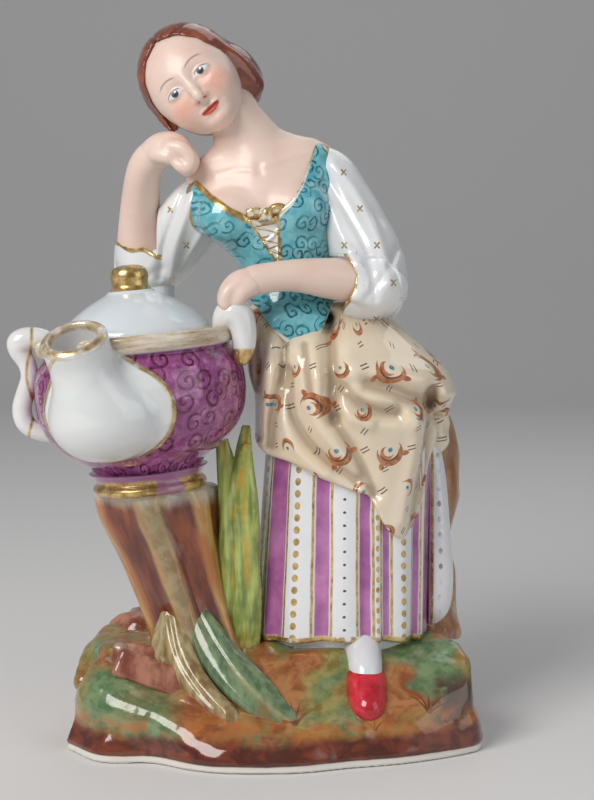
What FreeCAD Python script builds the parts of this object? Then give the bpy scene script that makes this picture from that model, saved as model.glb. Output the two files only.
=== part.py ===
"""Porcelain figurine of a seated girl who leans on a large covered pot.

The figure is built as a porcelain works builds it: each piece is moulded by itself and the pieces are
then stuck together with liquid clay, face to face.  The pot's lid stays loose and lifts off.
Units are millimetres.  +Z is up, -Y is the front, and the origin is on the underside of the base.
"""
import FreeCAD, Part
import math
import os
from FreeCAD import Placement, Rotation, Vector

# ---------------------------------------------------------------- driving dimensions
WALL = 3.0                 # thickness of the cast clay wall
JOIN = 1.5                 # how far a moulded piece reaches into its neighbour before it is trimmed to it

BASE_WIDTH = 105.0
BASE_DEPTH = 69.0
BASE_EDGE_HEIGHT = 6.5     # height of the base along its front edge
MOUND_HEIGHT = 27.0        # height of the ground that the figure and the stump stand on
VENT_RADIUS = 3.5          # firing vent in the underside
INNER_VENT_RADIUS = 1.8    # vents between the hollows

STUMP_HEIGHT = 40.0
STUMP_TOP_RADIUS = 16.0
STUMP_FOOT_RADIUS = 12.5

POT_X = -34.0              # centre of the pot's foot
POT_Y = -9.0
POT_TILT = 5.2             # degrees that the pot leans to the left
POT_FOOT_RADIUS = 14.0
POT_FOOT_HEIGHT = 3.2
POT_BELLY_RADIUS = 26.0
POT_HEIGHT = 40.5
POT_RIM_HEIGHT = 4.5
SPOUT_BORE_RADIUS = 5.6

LID_RADIUS = 20.0
LID_CLEARANCE = 0.3        # all round the lid in its seat
LID_SEAT_DEPTH = 1.9
LID_SEAT_WIDTH = 2.6
LID_RISE = 9.0             # from the rim to the foot of the knob
LID_FLANGE_DEPTH = 2.8
LID_WALL = 2.4
LID_LIFT = 25.0            # how far the lid lifts straight up before it has to be swung out past the arm
KNOB_RADIUS = 4.9
KNOB_HEIGHT = 6.8

SKIRT_X = 17.5             # centre of the petticoat
SKIRT_Y = -1.0
SKIRT_HALF_WIDTH = 23.8
SKIRT_HALF_DEPTH = 17.0
SKIRT_HEIGHT = 63.0
APRON_THICKNESS = 2.6

WAIST = Vector(2.0, 5.0, 121.0)
SHOULDER_LINE = Vector(-5.0, 6.8, 150.0)
SHOULDER_TILT = 10.0       # degrees; her left shoulder is the higher one
HEAD = Vector(-23.3, 6.0, 172.6)
HEAD_TILT = 42.0           # degrees that the head leans to the left
HEAD_RADII = (12.4, 13.0, 14.4)
HAIR_THICKNESS = 2.4
ARM_RADIUS = 5.4
SLEEVE_RADIUS = 7.8
SHOE_LENGTH = 14.0

SEAT_VENT = (SKIRT_X + 6.5, SKIRT_Y + SKIRT_HALF_DEPTH + 7.0)
SECTION_POINTS = 12        # points that a closed section is drawn through


# ---------------------------------------------------------------- drawing helpers
def unit(v):
    """The direction of a vector."""
    return Vector(v).normalize()


def section(centre, half_x, half_y, axis=Vector(0, 0, 1), side=Vector(1, 0, 0), lobes=0, lobe_depth=0.0):
    """A closed oval, square to axis.  Its half_x runs along side; lobes make it wavy."""
    normal = unit(axis)
    across = unit(Vector(side) - normal * normal.dot(Vector(side)))
    up = normal.cross(across)
    count = max(SECTION_POINTS, 4 * lobes)
    points = []
    for i in range(count):
        a = 2 * math.pi * i / count
        swell = 1 + lobe_depth * math.cos(lobes * a) if lobes else 1
        points.append(centre + across * (half_x * swell * math.cos(a)) + up * (half_y * swell * math.sin(a)))
    curve = Part.BSplineCurve()
    curve.interpolate(Points=points, PeriodicFlag=True)
    return Part.Wire(curve.toShape())


def loft(sections):
    """A closed solid through closed sections."""
    return Part.makeLoft(sections, True)


def limb(stations, flatten=1.0, side=Vector(0, -1, 0)):
    """A rounded limb through (point, radius) stations.  flatten thins it square to side."""
    points = [Vector(p) for p, _ in stations]
    radii = [r for _, r in stations]
    directions = []
    for i in range(len(points)):
        before = points[max(0, i - 1)]
        after = points[min(len(points) - 1, i + 1)]
        directions.append(unit(after - before))
    first, last = directions[0], directions[-1]
    points = [points[0] - first * (0.75 * radii[0])] + points + [points[-1] + last * (0.75 * radii[-1])]
    radii = [0.5 * radii[0]] + radii + [0.5 * radii[-1]]
    directions = [first] + directions + [last]
    rings = []
    for point, radius, direction in zip(points, radii, directions):
        rings.append(section(point, radius, radius * flatten, direction, side))
    return loft(rings)


def ellipsoid(centre, radii, tilt=0.0):
    """An egg drawn through level rings, that leans to the left by tilt degrees."""
    turn = Rotation(Vector(0, 1, 0), -tilt)
    axis, side = turn.multVec(Vector(0, 0, 1)), turn.multVec(Vector(1, 0, 0))
    rings = []
    for latitude in (-78, -58, -32, 0, 32, 58, 78):
        a = math.radians(latitude)
        rings.append(section(Vector(centre) + axis * (radii[2] * math.sin(a)), radii[0] * math.cos(a), radii[1] * math.cos(a),
                             axis, side))
    return loft(rings)


def prism(points, axis):
    """A straight-sided prism over a closed polygon."""
    return Part.Face(Part.makePolygon(points + [points[0]])).extrude(axis)


def trimmed(shape, *neighbours):
    """The piece cut back to its neighbours' faces.  Crumbs that the cut leaves are dropped."""
    for neighbour in neighbours:
        shape = shape.cut(neighbour)
    solids = sorted(shape.Solids, key=lambda s: s.Volume)
    return solids[-1]


def turned(profile):
    """A solid of revolution about Z.  profile is a list of edges in the XZ half plane, as one closed wire."""
    face = Part.Face(Part.Wire(profile))
    return face.revolve(Vector(0, 0, 0), Vector(0, 0, 1), 360)


def line(a, b):
    """A straight profile edge between (radius, height) points."""
    return Part.LineSegment(Vector(a[0], 0, a[1]), Vector(b[0], 0, b[1])).toShape()


def curve_through(points):
    """A smooth profile edge through (radius, height) points."""
    spline = Part.BSplineCurve()
    spline.interpolate([Vector(r, 0, h) for r, h in points])
    return spline.toShape()


# ---------------------------------------------------------------- ground
BASE_PLAN = (
    (-1.00, -0.60), (-0.50, -0.88), (0.00, -1.00), (0.50, -0.90), (1.00, -0.62), (1.00, -0.10),
    (0.88, 0.50), (0.50, 0.92), (0.00, 1.00), (-0.52, 0.92), (-0.88, 0.50), (-1.00, -0.05),
)   # shares of half the width and half the depth
GROUND_RISE = ((-1.0, 0.0), (-0.86, 0.10), (-0.60, 0.45), (-0.36, 0.80), (-0.16, 0.97), (0.1, 1.0), (1.0, 1.0))


def base_ring(inset, z, draw):
    """The base's plan at height z, drawn in by inset and narrowed by draw."""
    points = []
    for share_x, share_y in BASE_PLAN:
        half_x, half_y = BASE_WIDTH / 2 - inset - draw, BASE_DEPTH / 2 - inset - 0.3 * draw
        points.append(Vector(share_x * half_x, share_y * half_y, z))
    curve = Part.BSplineCurve()
    curve.interpolate(Points=points, PeriodicFlag=True)
    return Part.Wire(curve.toShape())


def base_block(inset):
    """The rocky lump that the ground is cut from: its sides lean inward."""
    return loft([
        base_ring(inset, 0, 0), base_ring(inset, 0.30 * MOUND_HEIGHT, 0.6), base_ring(inset, 0.65 * MOUND_HEIGHT, 3.2),
        base_ring(inset, MOUND_HEIGHT, 5.5), base_ring(inset, 1.3 * MOUND_HEIGHT, 7.0),
    ])


def ground_height(y):
    """Height of the ground along the middle of the base."""
    share = 2 * y / BASE_DEPTH
    for (y0, h0), (y1, h1) in zip(GROUND_RISE, GROUND_RISE[1:]):
        if share <= y1:
            rise = h0 + (h1 - h0) * max(0.0, share - y0) / (y1 - y0)
            return BASE_EDGE_HEIGHT + rise * (MOUND_HEIGHT - BASE_EDGE_HEIGHT)
    return MOUND_HEIGHT


def ground_block(drop, floor):
    """Everything under the ground's surface, lowered by drop, and above floor."""
    half = BASE_DEPTH / 2 + JOIN
    reach = BASE_WIDTH
    top = []
    for share, rise in GROUND_RISE:
        height = BASE_EDGE_HEIGHT + rise * (MOUND_HEIGHT - BASE_EDGE_HEIGHT) - drop
        top.append(Vector(-reach, share * half, height))
    spline = Part.BSplineCurve()
    spline.interpolate(top)
    front, back = Vector(-reach, -half, floor), Vector(-reach, half, floor)
    edges = [
        spline.toShape(),
        Part.LineSegment(top[-1], back).toShape(),
        Part.LineSegment(back, front).toShape(),
        Part.LineSegment(front, top[0]).toShape(),
    ]
    return Part.Face(Part.Wire(edges)).extrude(Vector(2 * reach, 0, 0))


def inner_vent(x, y, z):
    """A small upright hole through the two walls that meet at height z."""
    return Part.makeCylinder(INNER_VENT_RADIUS, 6 * WALL, Vector(x, y, z - 3 * WALL))


def make_base():
    """The rocky ground: a cast shell with a closed underside and a firing vent."""
    outside = solid_ground()
    inside = base_block(WALL).common(ground_block(WALL, WALL))
    shell = outside.cut(inside).cut(Part.makeCylinder(VENT_RADIUS, 2 * WALL, Vector(0, BASE_DEPTH / 4, -JOIN)))
    for x, y in ((POT_X + 13.0, POT_Y + 5.0), (SKIRT_X, SKIRT_Y), SEAT_VENT):
        shell = shell.cut(inner_vent(x, y, MOUND_HEIGHT))
    return shell


def solid_ground():
    """The base without its hollow, for trimming what stands on it."""
    return base_block(0).common(ground_block(0, 0))


# ---------------------------------------------------------------- pot and lid
POT_FOOT = Vector(POT_X, POT_Y, MOUND_HEIGHT + STUMP_HEIGHT)
POT_STAND = Placement(POT_FOOT, Rotation(Vector(0, 1, 0), -POT_TILT))
POT_AXIS = POT_STAND.Rotation.multVec(Vector(0, 0, 1))
SEAT_RADIUS = LID_RADIUS + LID_CLEARANCE
SEAT_HEIGHT = POT_HEIGHT - LID_SEAT_DEPTH
MOUTH_RADIUS = SEAT_RADIUS - LID_SEAT_WIDTH
RIM_RADIUS = max(POT_BELLY_RADIUS + 0.2, SEAT_RADIUS + WALL)


def on_pot(x, y, height):
    """A point given from the pot's foot, along the pot's own leaning axis."""
    return POT_STAND.multVec(Vector(x, y, height))


def pot_side(inset):
    """(radius, height) points up the belly of the pot, drawn in by inset."""
    belly = POT_BELLY_RADIUS - inset
    body = POT_HEIGHT - POT_RIM_HEIGHT
    low = POT_FOOT_HEIGHT + inset
    return [
        (POT_FOOT_RADIUS - 0.6 - inset, low),
        (0.68 * belly, low + 0.10 * (body - low)),
        (0.90 * belly, low + 0.32 * (body - low)),
        (belly, low + 0.60 * (body - low)),
        (0.965 * belly, low + 0.83 * (body - low)),
    ]


def pot_outer_profile():
    """The outside of the pot from the centre of its foot to the inner edge of its rim."""
    side = pot_side(0)
    neck = (0.915 * POT_BELLY_RADIUS, POT_HEIGHT - POT_RIM_HEIGHT)
    lip = (RIM_RADIUS, POT_HEIGHT - 0.55 * POT_RIM_HEIGHT)
    brim = (RIM_RADIUS - 0.8, POT_HEIGHT)
    return [line((0, POT_FOOT_HEIGHT), side[0]), curve_through(side + [neck]), line(neck, lip), line(lip, brim)], brim


def make_pot():
    """The covered pot: a hollow bowl with a broad rim that has a step for the lid."""
    outer, brim = pot_outer_profile()
    inner = pot_side(WALL)
    mouth_foot = (MOUTH_RADIUS, POT_HEIGHT - POT_RIM_HEIGHT - WALL / 2)
    edges = outer + [
        line(brim, (SEAT_RADIUS, POT_HEIGHT)),
        line((SEAT_RADIUS, POT_HEIGHT), (SEAT_RADIUS, SEAT_HEIGHT)),
        line((SEAT_RADIUS, SEAT_HEIGHT), (MOUTH_RADIUS, SEAT_HEIGHT)),
        line((MOUTH_RADIUS, SEAT_HEIGHT), mouth_foot),
        line(mouth_foot, inner[-1]),
        curve_through(inner[::-1]),
        line(inner[0], (0, inner[0][1])),
        line((0, inner[0][1]), (0, POT_FOOT_HEIGHT)),
    ]
    pot = turned(edges)
    pot.Placement = POT_STAND
    return pot


def pot_envelope():
    """The pot filled solid and reaching down through its foot ring, for trimming what touches it."""
    outer, brim = pot_outer_profile()
    filled = turned(outer + [line(brim, (0, POT_HEIGHT)), line((0, POT_HEIGHT), (0, POT_FOOT_HEIGHT))])
    filled = filled.fuse(Part.makeCylinder(POT_FOOT_RADIUS + 0.4, POT_FOOT_HEIGHT))
    filled.Placement = POT_STAND
    return filled


def make_foot_ring():
    """The gilded ring under the pot."""
    middle = POT_FOOT_HEIGHT / 2
    bulge = [
        (POT_FOOT_RADIUS, 0), (POT_FOOT_RADIUS + 0.35, 0.5 * middle), (POT_FOOT_RADIUS + 0.35, 1.5 * middle),
        (POT_FOOT_RADIUS, POT_FOOT_HEIGHT),
    ]
    ring = turned([
        line((0, 0), bulge[0]), curve_through(bulge), line(bulge[-1], (0, POT_FOOT_HEIGHT)),
        line((0, POT_FOOT_HEIGHT), (0, 0)),
    ])
    ring.Placement = POT_STAND
    return ring


def lid_dome(inset):
    """(radius, height) points over the lid's dome, drawn in by inset."""
    radius = LID_RADIUS - inset
    foot = SEAT_HEIGHT + 1.3
    rise = POT_HEIGHT + LID_RISE - foot - inset
    knob_foot = KNOB_RADIUS + 0.4
    return [
        (radius, foot),
        (0.86 * radius, foot + 0.36 * rise),
        (0.60 * radius, foot + 0.76 * rise),
        (max(knob_foot, 0.30 * radius), foot + rise),
    ]


def make_lid():
    """The loose domed lid: hollow beneath, with a flange that drops into the mouth."""
    dome, under = lid_dome(0), lid_dome(LID_WALL)
    flange = MOUTH_RADIUS - 2 * LID_CLEARANCE
    flange_foot = SEAT_HEIGHT - LID_FLANGE_DEPTH
    inside = flange - LID_WALL
    lid = turned([
        line((0, dome[-1][1]), dome[-1]),
        curve_through(dome[::-1]),
        line(dome[0], (LID_RADIUS, SEAT_HEIGHT)),
        line((LID_RADIUS, SEAT_HEIGHT), (flange, SEAT_HEIGHT)),
        line((flange, SEAT_HEIGHT), (flange, flange_foot)),
        line((flange, flange_foot), (inside, flange_foot)),
        line((inside, flange_foot), (inside, SEAT_HEIGHT + 0.6)),
        curve_through([(inside, SEAT_HEIGHT + 0.6), under[2], under[3]]),
        line(under[3], (0, under[3][1])),
        line((0, under[3][1]), (0, dome[-1][1])),
    ])
    lid.Placement = POT_STAND
    return lid


def make_knob():
    """The lid's gilded knob: a short waisted post with a rounded top."""
    foot = POT_HEIGHT + LID_RISE
    side = curve_through([
        (KNOB_RADIUS + 0.4, foot), (KNOB_RADIUS - 0.4, foot + 0.24 * KNOB_HEIGHT),
        (KNOB_RADIUS, foot + 0.62 * KNOB_HEIGHT), (0.78 * KNOB_RADIUS, foot + 0.88 * KNOB_HEIGHT),
        (0.25 * KNOB_RADIUS, foot + KNOB_HEIGHT),
    ])
    top = (0.25 * KNOB_RADIUS, foot + KNOB_HEIGHT)
    knob = turned([line((0, foot), (KNOB_RADIUS + 0.4, foot)), side, line(top, (0, top[1])), line((0, top[1]), (0, foot))])
    knob.Placement = POT_STAND
    return knob


def spout_rings(inset):
    """Rings up the throat of the spout to its mouth, drawn in by inset."""
    rings = []
    for x, out, height, half, lean in (
        (-6.5, 0.86, 0.50, 10.5, 0.30), (-9.0, 0.98, 0.70, 8.2, 0.40), (-10.6, 1.08, 0.88, 7.4, 0.50),
        (-11.8, 1.18, 1.02, 8.1, 0.65),
    ):
        centre = on_pot(x, -out * POT_BELLY_RADIUS, height * POT_HEIGHT)
        rings.append((centre, half - inset, unit(Vector(-0.4 * lean, -lean, 1))))
    return rings


def make_spout(envelope):
    """The spout: a leaf-shaped bulb on the pot's front that narrows to an open mouth."""
    bulb = ellipsoid(on_pot(-6.5, -0.72 * POT_BELLY_RADIUS, 0.47 * POT_HEIGHT), (17.2, 9.5, 12.4), 8)
    rings = spout_rings(0)
    throat = loft([section(centre, half, 0.9 * half, lean) for centre, half, lean in rings])
    mouth, half, lean = rings[-1]
    deep, narrow, _ = rings[1]
    bore = loft([
        section(deep - lean * 2, SPOUT_BORE_RADIUS - 1.6, SPOUT_BORE_RADIUS - 2.0, rings[1][2]),
        section(rings[2][0], SPOUT_BORE_RADIUS - 0.8, SPOUT_BORE_RADIUS - 1.2, rings[2][2]),
        section(mouth, SPOUT_BORE_RADIUS, 0.9 * SPOUT_BORE_RADIUS, lean),
        section(mouth + lean * 2, SPOUT_BORE_RADIUS + 0.4, 0.9 * SPOUT_BORE_RADIUS + 0.4, lean),
    ])
    return trimmed(bulb.fuse(throat), envelope, bore)


def make_left_handle(envelope):
    """The scrolled strap on the pot's outer side."""
    out = -POT_BELLY_RADIUS
    return trimmed(limb([
        (on_pot(out + 2.0, -2.5, 0.92 * POT_HEIGHT), 2.4), (on_pot(out - 2.6, -2.5, 0.97 * POT_HEIGHT), 3.0),
        (on_pot(out - 4.4, -2.5, 0.88 * POT_HEIGHT), 2.4), (on_pot(out - 2.2, -2.5, 0.77 * POT_HEIGHT), 2.0),
        (on_pot(out - 1.6, -2.5, 0.66 * POT_HEIGHT), 2.2), (on_pot(out - 1.4, -2.5, 0.53 * POT_HEIGHT), 2.4),
        (on_pot(out + 1.2, -2.5, 0.43 * POT_HEIGHT), 1.8),
    ], 1.25, Vector(0, 1, 0)), envelope)


def make_right_handle(envelope):
    """The short curl over the rim on the girl's side, where her hand rests."""
    out = max(POT_BELLY_RADIUS, LID_RADIUS + 5.8)
    drop = ellipsoid(on_pot(out + 2.0, -8.3, 0.97 * POT_HEIGHT), (3.1, 3.3, 0.19 * POT_HEIGHT), 0)
    bridge = limb([(on_pot(out - 4.0, -5.2, 1.02 * POT_HEIGHT), 2.6), (on_pot(out - 1.0, -7.0, 1.10 * POT_HEIGHT), 2.9),
                   (on_pot(out + 1.6, -8.2, 1.09 * POT_HEIGHT), 2.6)])
    return trimmed(drop.fuse(bridge), envelope, lid_passage())


ELBOW = on_pot(1.8, 27.5, POT_HEIGHT + 16.0)


def make_elbow_rest(envelope, lid_way):
    """The small prop between the back of the pot's rim and the elbow."""
    foot = on_pot(6.0, 0.5 * (SEAT_RADIUS + RIM_RADIUS) + 0.5, POT_HEIGHT - JOIN)
    return trimmed(limb([(foot, 3.4), (foot + (ELBOW - foot) * 0.5, 3.6), (foot + (ELBOW - foot) * 0.9, 4.6)]),
                   envelope, lid_way)


def lid_passage():
    """The space that the lid and its knob sweep as they lift, with room round them."""
    gap = LID_CLEARANCE + 0.2
    dome = [(radius + gap, height + gap + LID_LIFT) for radius, height in lid_dome(0)]
    knob_top = POT_HEIGHT + LID_RISE + KNOB_HEIGHT + LID_LIFT + gap
    knob = KNOB_RADIUS + 0.4 + gap
    room = turned([
        line((0, POT_HEIGHT), (dome[0][0], POT_HEIGHT)), line((dome[0][0], POT_HEIGHT), dome[0]), curve_through(dome),
        line(dome[-1], (knob, knob_top)), line((knob, knob_top), (0, knob_top)), line((0, knob_top), (0, POT_HEIGHT)),
    ])
    room.Placement = POT_STAND
    return room


# ---------------------------------------------------------------- stump, plants and rocks
def make_stump(ground):
    """The hollow-looking tree stump, cut off flat where the pot stands on it."""
    foot = Vector(POT_X + 13.0, POT_Y + 5.0, MOUND_HEIGHT - 2 * JOIN)
    top = POT_STAND.multVec(Vector(0, 0, JOIN))
    height = top.z - foot.z
    rings, hollow = [], []
    for share, radius, lobe in ((0, 1.28, 0.10), (0.12, 1.06, 0.08), (0.4, 0.98, 0.06), (0.72, 1.02, 0.05), (1.0, 1.0, 0.03)):
        centre = foot + (top - foot) * share
        size = radius * (STUMP_FOOT_RADIUS + (STUMP_TOP_RADIUS - STUMP_FOOT_RADIUS) * share)
        rings.append(section(centre, size, 0.92 * size, lobes=5, lobe_depth=lobe))
        inner = 0.92 * size - 1.6 * WALL
        hollow.append(section(centre + (foot + top - centre * 2) * 0.22 + Vector(0, 0, JOIN), inner, inner))
    above = Part.makeBox(200, 200, 50, Vector(-100, -100, 0))
    above.Placement = POT_STAND
    return trimmed(loft(rings), ground, above).cut(loft(hollow)).cut(inner_vent(foot.x, foot.y, MOUND_HEIGHT))


def make_root(ground, stump):
    """A root that runs down the left of the stump."""
    foot = Vector(POT_X + 4.0, POT_Y - 6.0, 0)
    return trimmed(limb([
        (foot + Vector(1, 4, MOUND_HEIGHT + 7), 2.4), (foot + Vector(1, -1, MOUND_HEIGHT + 1), 3.0),
        (foot + Vector(4, -5, ground_height(POT_Y - 11) + 0.5), 3.2), (foot + Vector(9, -11, ground_height(POT_Y - 17)), 2.4),
    ]), ground, stump)


def make_leaf(ground, stump, root):
    """The broad leaf that sweeps from the stump down to the front edge."""
    start = Vector(POT_X + 9.5, POT_Y - 4.0, MOUND_HEIGHT + 6.0)
    return trimmed(limb([
        (start, 2.6), (start + Vector(4, -5.5, -6), 3.8),
        (start + Vector(11, -11, -14), 4.4), (start + Vector(19, -15.5, -21), 3.4),
        (start + Vector(27, -18.5, -25.0), 1.9),
    ], 0.75, Vector(1, 0, 0.6)), ground, stump, root)


def make_grass(ground, stump, envelope):
    """The tall blades between the stump and the skirt."""
    x, y = SKIRT_X - SKIRT_HALF_WIDTH - 3.6, POT_Y - 1.0
    return trimmed(limb([
        (Vector(x, y, MOUND_HEIGHT - 2), 4.2), (Vector(x - 0.6, y, MOUND_HEIGHT + 18), 4.8),
        (Vector(x - 0.4, y + 1, MOUND_HEIGHT + 38), 4.0), (Vector(x + 1.4, y + 2, MOUND_HEIGHT + 54), 1.8),
    ], 0.8, Vector(1, 0, 0)), ground, stump, envelope)


def make_block_rock(ground, root):
    """The squared stone on the left of the ground."""
    left = Vector(-0.39 * BASE_WIDTH, -15.0, ground_height(-15.0) + 1.0)
    right = left + Vector(17.0, -4.5, -4.0)
    return trimmed(limb([(left, 4.4), ((left + right) * 0.5, 4.8), (right, 3.6)], 0.8, Vector(0, 0, 1)), ground, root)


def make_back_rock(ground, stump):
    """The rounded rock behind the stump."""
    middle = Vector(-0.335 * BASE_WIDTH, 0.16 * BASE_DEPTH, MOUND_HEIGHT - 3.0)
    return trimmed(loft([
        section(middle - Vector(0, 0, 3), 13.0, 13.5, lobes=4, lobe_depth=0.07),
        section(middle + Vector(0, 0, 2.5), 12.0, 12.0, lobes=4, lobe_depth=0.06),
        section(middle + Vector(1, 0, 6.0), 7.0, 7.5, lobes=4, lobe_depth=0.05),
    ]), ground, stump)


def make_seat(ground):
    """The rock that the girl sits on."""
    x, y = SKIRT_X + 6.5, SKIRT_Y + SKIRT_HALF_DEPTH
    low = MOUND_HEIGHT - JOIN
    hollow = ellipsoid(Vector(*SEAT_VENT, low + 29.0), (15.5, 4.6, 24.0))
    return trimmed(loft([
        section(Vector(x, y, low), 25.5, 16.5, lobes=5, lobe_depth=0.04),
        section(Vector(x, y, low + 18), 22.5, 15.0, lobes=5, lobe_depth=0.05),
        section(Vector(x + 1.5, y + 1, low + 34), 24.6, 15.0, lobes=5, lobe_depth=0.04),
        section(Vector(x, y, low + 48), 21.0, 13.5, lobes=5, lobe_depth=0.03),
        section(Vector(x - 6, y - 1, low + 66), 15.0, 11.0, lobes=5, lobe_depth=0.02),
    ]), ground).cut(hollow).cut(inner_vent(*SEAT_VENT, MOUND_HEIGHT))


# ---------------------------------------------------------------- clothes
def skirt_sections(inset, low, high):
    """Rings of the petticoat from low to high, drawn in by inset."""
    rings = []
    for share, grow in ((0.0, 1.0), (0.35, 0.985), (0.7, 0.97), (1.0, 0.88)):
        centre = Vector(SKIRT_X + 0.8 * share, SKIRT_Y, low + share * (high - low))
        half_x, half_y = grow * SKIRT_HALF_WIDTH - inset, grow * SKIRT_HALF_DEPTH - inset
        rings.append(section(centre, half_x, half_y))
    return rings


HEM_Z = MOUND_HEIGHT
SKIRT_TOP = HEM_Z + SKIRT_HEIGHT


def make_petticoat(ground):
    """The striped petticoat over the knees: a closed cast shell."""
    outside = loft(skirt_sections(0, HEM_Z, SKIRT_TOP))
    inside = loft(skirt_sections(WALL, HEM_Z + WALL, SKIRT_TOP - WALL))
    shell = trimmed(outside, ground).cut(inside)
    return shell.cut(inner_vent(SKIRT_X, SKIRT_Y, HEM_Z)).cut(inner_vent(SKIRT_X, SKIRT_Y, SKIRT_TOP))


def make_back_fold(ground, skirt, seat):
    """The end of the petticoat that hangs beside the seat on the right."""
    x = SKIRT_X + SKIRT_HALF_WIDTH + 1.4
    return trimmed(limb([
        (Vector(x - 0.8, 5, HEM_Z + 46), 2.6), (Vector(x + 0.8, 4, HEM_Z + 30), 3.4),
        (Vector(x + 1.6, 3, HEM_Z + 14), 4.0), (Vector(x - 0.5, 1, HEM_Z + 4.5), 4.0),
    ], 1.3, Vector(1, 0, 0)), ground, skirt, seat)


def make_apron(skirt, envelope, torso):
    """The draped apron: over the hips and lap, cut to a long corner that hangs in front."""
    x, y, t = SKIRT_X, SKIRT_Y, APRON_THICKNESS
    w, d = SKIRT_HALF_WIDTH, SKIRT_HALF_DEPTH
    hips = WAIST.z - 13.0
    drop = hips - (SKIRT_TOP - 36.0)
    body = loft([
        section(Vector(x + 2.5, y - 0.5, hips - drop), w + t - 1.2, d + t),
        section(Vector(x + 1.5, y - 0.5, hips - 0.72 * drop), w + t + 0.4, d + t + 0.6),
        section(Vector(x + 1.0, y, hips - 0.42 * drop), w + t + 2.6, d + t + 1.0),
        section(Vector(x - 1.0, y + 2.5, hips - 0.20 * drop), w + t + 0.6, d + t - 1.6),
        section(Vector(WAIST.x + 9.0, WAIST.y + 1.5, hips), 0.82 * w, 0.68 * d),
        section(Vector(WAIST.x + 5.0, WAIST.y + 1.5, hips + 3.5), 0.60 * w, 0.52 * d),
    ])
    left, right, corner = x - w - 20, x + w + 20, x + 0.62 * w
    edge = SKIRT_TOP - 13.0
    far = Vector(0, -80, 0)
    outline = prism([
        Vector(left, 0, hips + 20) - far * 0.5, Vector(right, 0, hips + 20) - far * 0.5,
        Vector(right, 0, edge - 3) - far * 0.5, Vector(x + w - 3, 0, edge - 9) - far * 0.5,
        Vector(corner + 2, 0, edge - 21.5) - far * 0.5, Vector(corner - 3, 0, edge - 21) - far * 0.5,
        Vector(x - 4, 0, edge - 9) - far * 0.5, Vector(x - w, 0, edge) - far * 0.5,
        Vector(left, 0, edge + 3) - far * 0.5,
    ], far)
    hollow = ellipsoid(Vector(x - 1.5, y + 2.5, SKIRT_TOP + 7.5), (17.0, 11.0, 4.8))
    cloth = trimmed(body.common(outline), skirt, envelope, torso)
    return cloth.cut(hollow).cut(inner_vent(x, y, SKIRT_TOP - WALL))


def make_apron_gather(apron, skirt, seat, fold):
    """The bunched end of the apron that falls at her left side."""
    x = SKIRT_X + SKIRT_HALF_WIDTH
    return trimmed(limb([
        (Vector(x - 4.5, 6, SKIRT_TOP + 7), 4.5), (Vector(x + 1.6, 3, SKIRT_TOP - 3), 5.2),
        (Vector(x + 0.8, 3, SKIRT_TOP - 14), 4.8), (Vector(x - 0.6, 4, SKIRT_TOP - 22), 3.4),
    ]), apron, skirt, seat, fold)


def torso_solid():
    """The trunk from the bodice's point to the shoulders."""
    lean = Vector(-math.sin(math.radians(SHOULDER_TILT)), 0, math.cos(math.radians(SHOULDER_TILT)))
    half_lean = unit(Vector(0, 0, 1) + lean)
    s, w = SHOULDER_LINE, WAIST
    return loft([
        section(w + Vector(4.0, -1.5, -17.0), 8.0, 8.0), section(w + Vector(2.6, -1.0, -9.0), 10.8, 9.2),
        section(w, 11.4, 8.6), section(w + (s - w) * 0.36, 14.2, 10.2, half_lean),
        section(w + (s - w) * 0.66, 16.6, 11.2, lean), section(w + (s - w) * 0.88, 17.4, 9.6, lean),
        section(s + Vector(-0.4, 0.2, 1.6), 12.0, 6.4, lean),
    ])


def neckline_prism():
    """The open front and back of the bodice, as a prism from front to back."""
    s = SHOULDER_LINE
    back = Vector(0, 40, 0)
    return prism([
        s + Vector(-17.5, -40, 2.5), s + Vector(-13.0, -40, -8.0), s + Vector(-6.0, -40, -12.5),
        s + Vector(1.0, -40, -14.0), s + Vector(8.5, -40, -8.5), s + Vector(15.5, -40, 6.0), s + Vector(-2, -40, 20),
    ], back * 2)


def make_bodice(torso):
    """The laced bodice."""
    return trimmed(torso, neckline_prism())


def make_bust(torso, head):
    """Neck and shoulders, cut out of the same trunk as the bodice."""
    chest = torso.common(neckline_prism())
    s = SHOULDER_LINE
    axis = HEAD + (s - HEAD) * 0.30 - s
    neck = loft([
        section(s + Vector(0, 0, -4), 16.0, 7.6, Vector(-0.15, 0, 1)), section(s + axis * 0.16, 13.4, 7.2, Vector(-0.3, 0, 1)),
        section(s + axis * 0.36, 9.4, 6.8, Vector(-0.45, 0, 1)), section(s + axis * 0.62, 7.6, 6.6, Vector(-0.6, 0, 1)),
        section(s + axis, 7.4, 6.6, Vector(-0.7, 0, 1)),
    ])
    return trimmed(chest.fuse(trimmed(neck, torso)), head)


def make_bow(bodice, bust):
    """The gilt knot at the middle of the neckline."""
    return trimmed(ellipsoid(SHOULDER_LINE + Vector(-1.2, -11.8, -11.0), (5.6, 2.4, 3.0), -SHOULDER_TILT), bodice, bust)


# ---------------------------------------------------------------- head and arms
def make_head():
    """The head, leaning on the hand."""
    return ellipsoid(HEAD, HEAD_RADII, HEAD_TILT)


def make_hair(head, bust):
    """The smooth hair round the back and top of the head."""
    turn = Rotation(Vector(0, 1, 0), -HEAD_TILT)
    centre = HEAD + turn.multVec(Vector(0.8, 2.2, 1.0))
    cap = ellipsoid(centre, tuple(r + HAIR_THICKNESS - 0.7 for r in HEAD_RADII), HEAD_TILT)
    front = Part.makeBox(80, 40, 80, Vector(-40, -44.0, -40))
    front.Placement = Placement(HEAD, turn.multiply(Rotation(Vector(1, 0, 0), -14)))
    bun = ellipsoid(HEAD + turn.multVec(Vector(7.5, HEAD_RADII[1] - 3.0, -10.0)), (6.4, 6.0, 6.8), HEAD_TILT + 25)
    return trimmed(cap, head, front, bust).fuse(trimmed(bun, head, front, bust))


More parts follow.
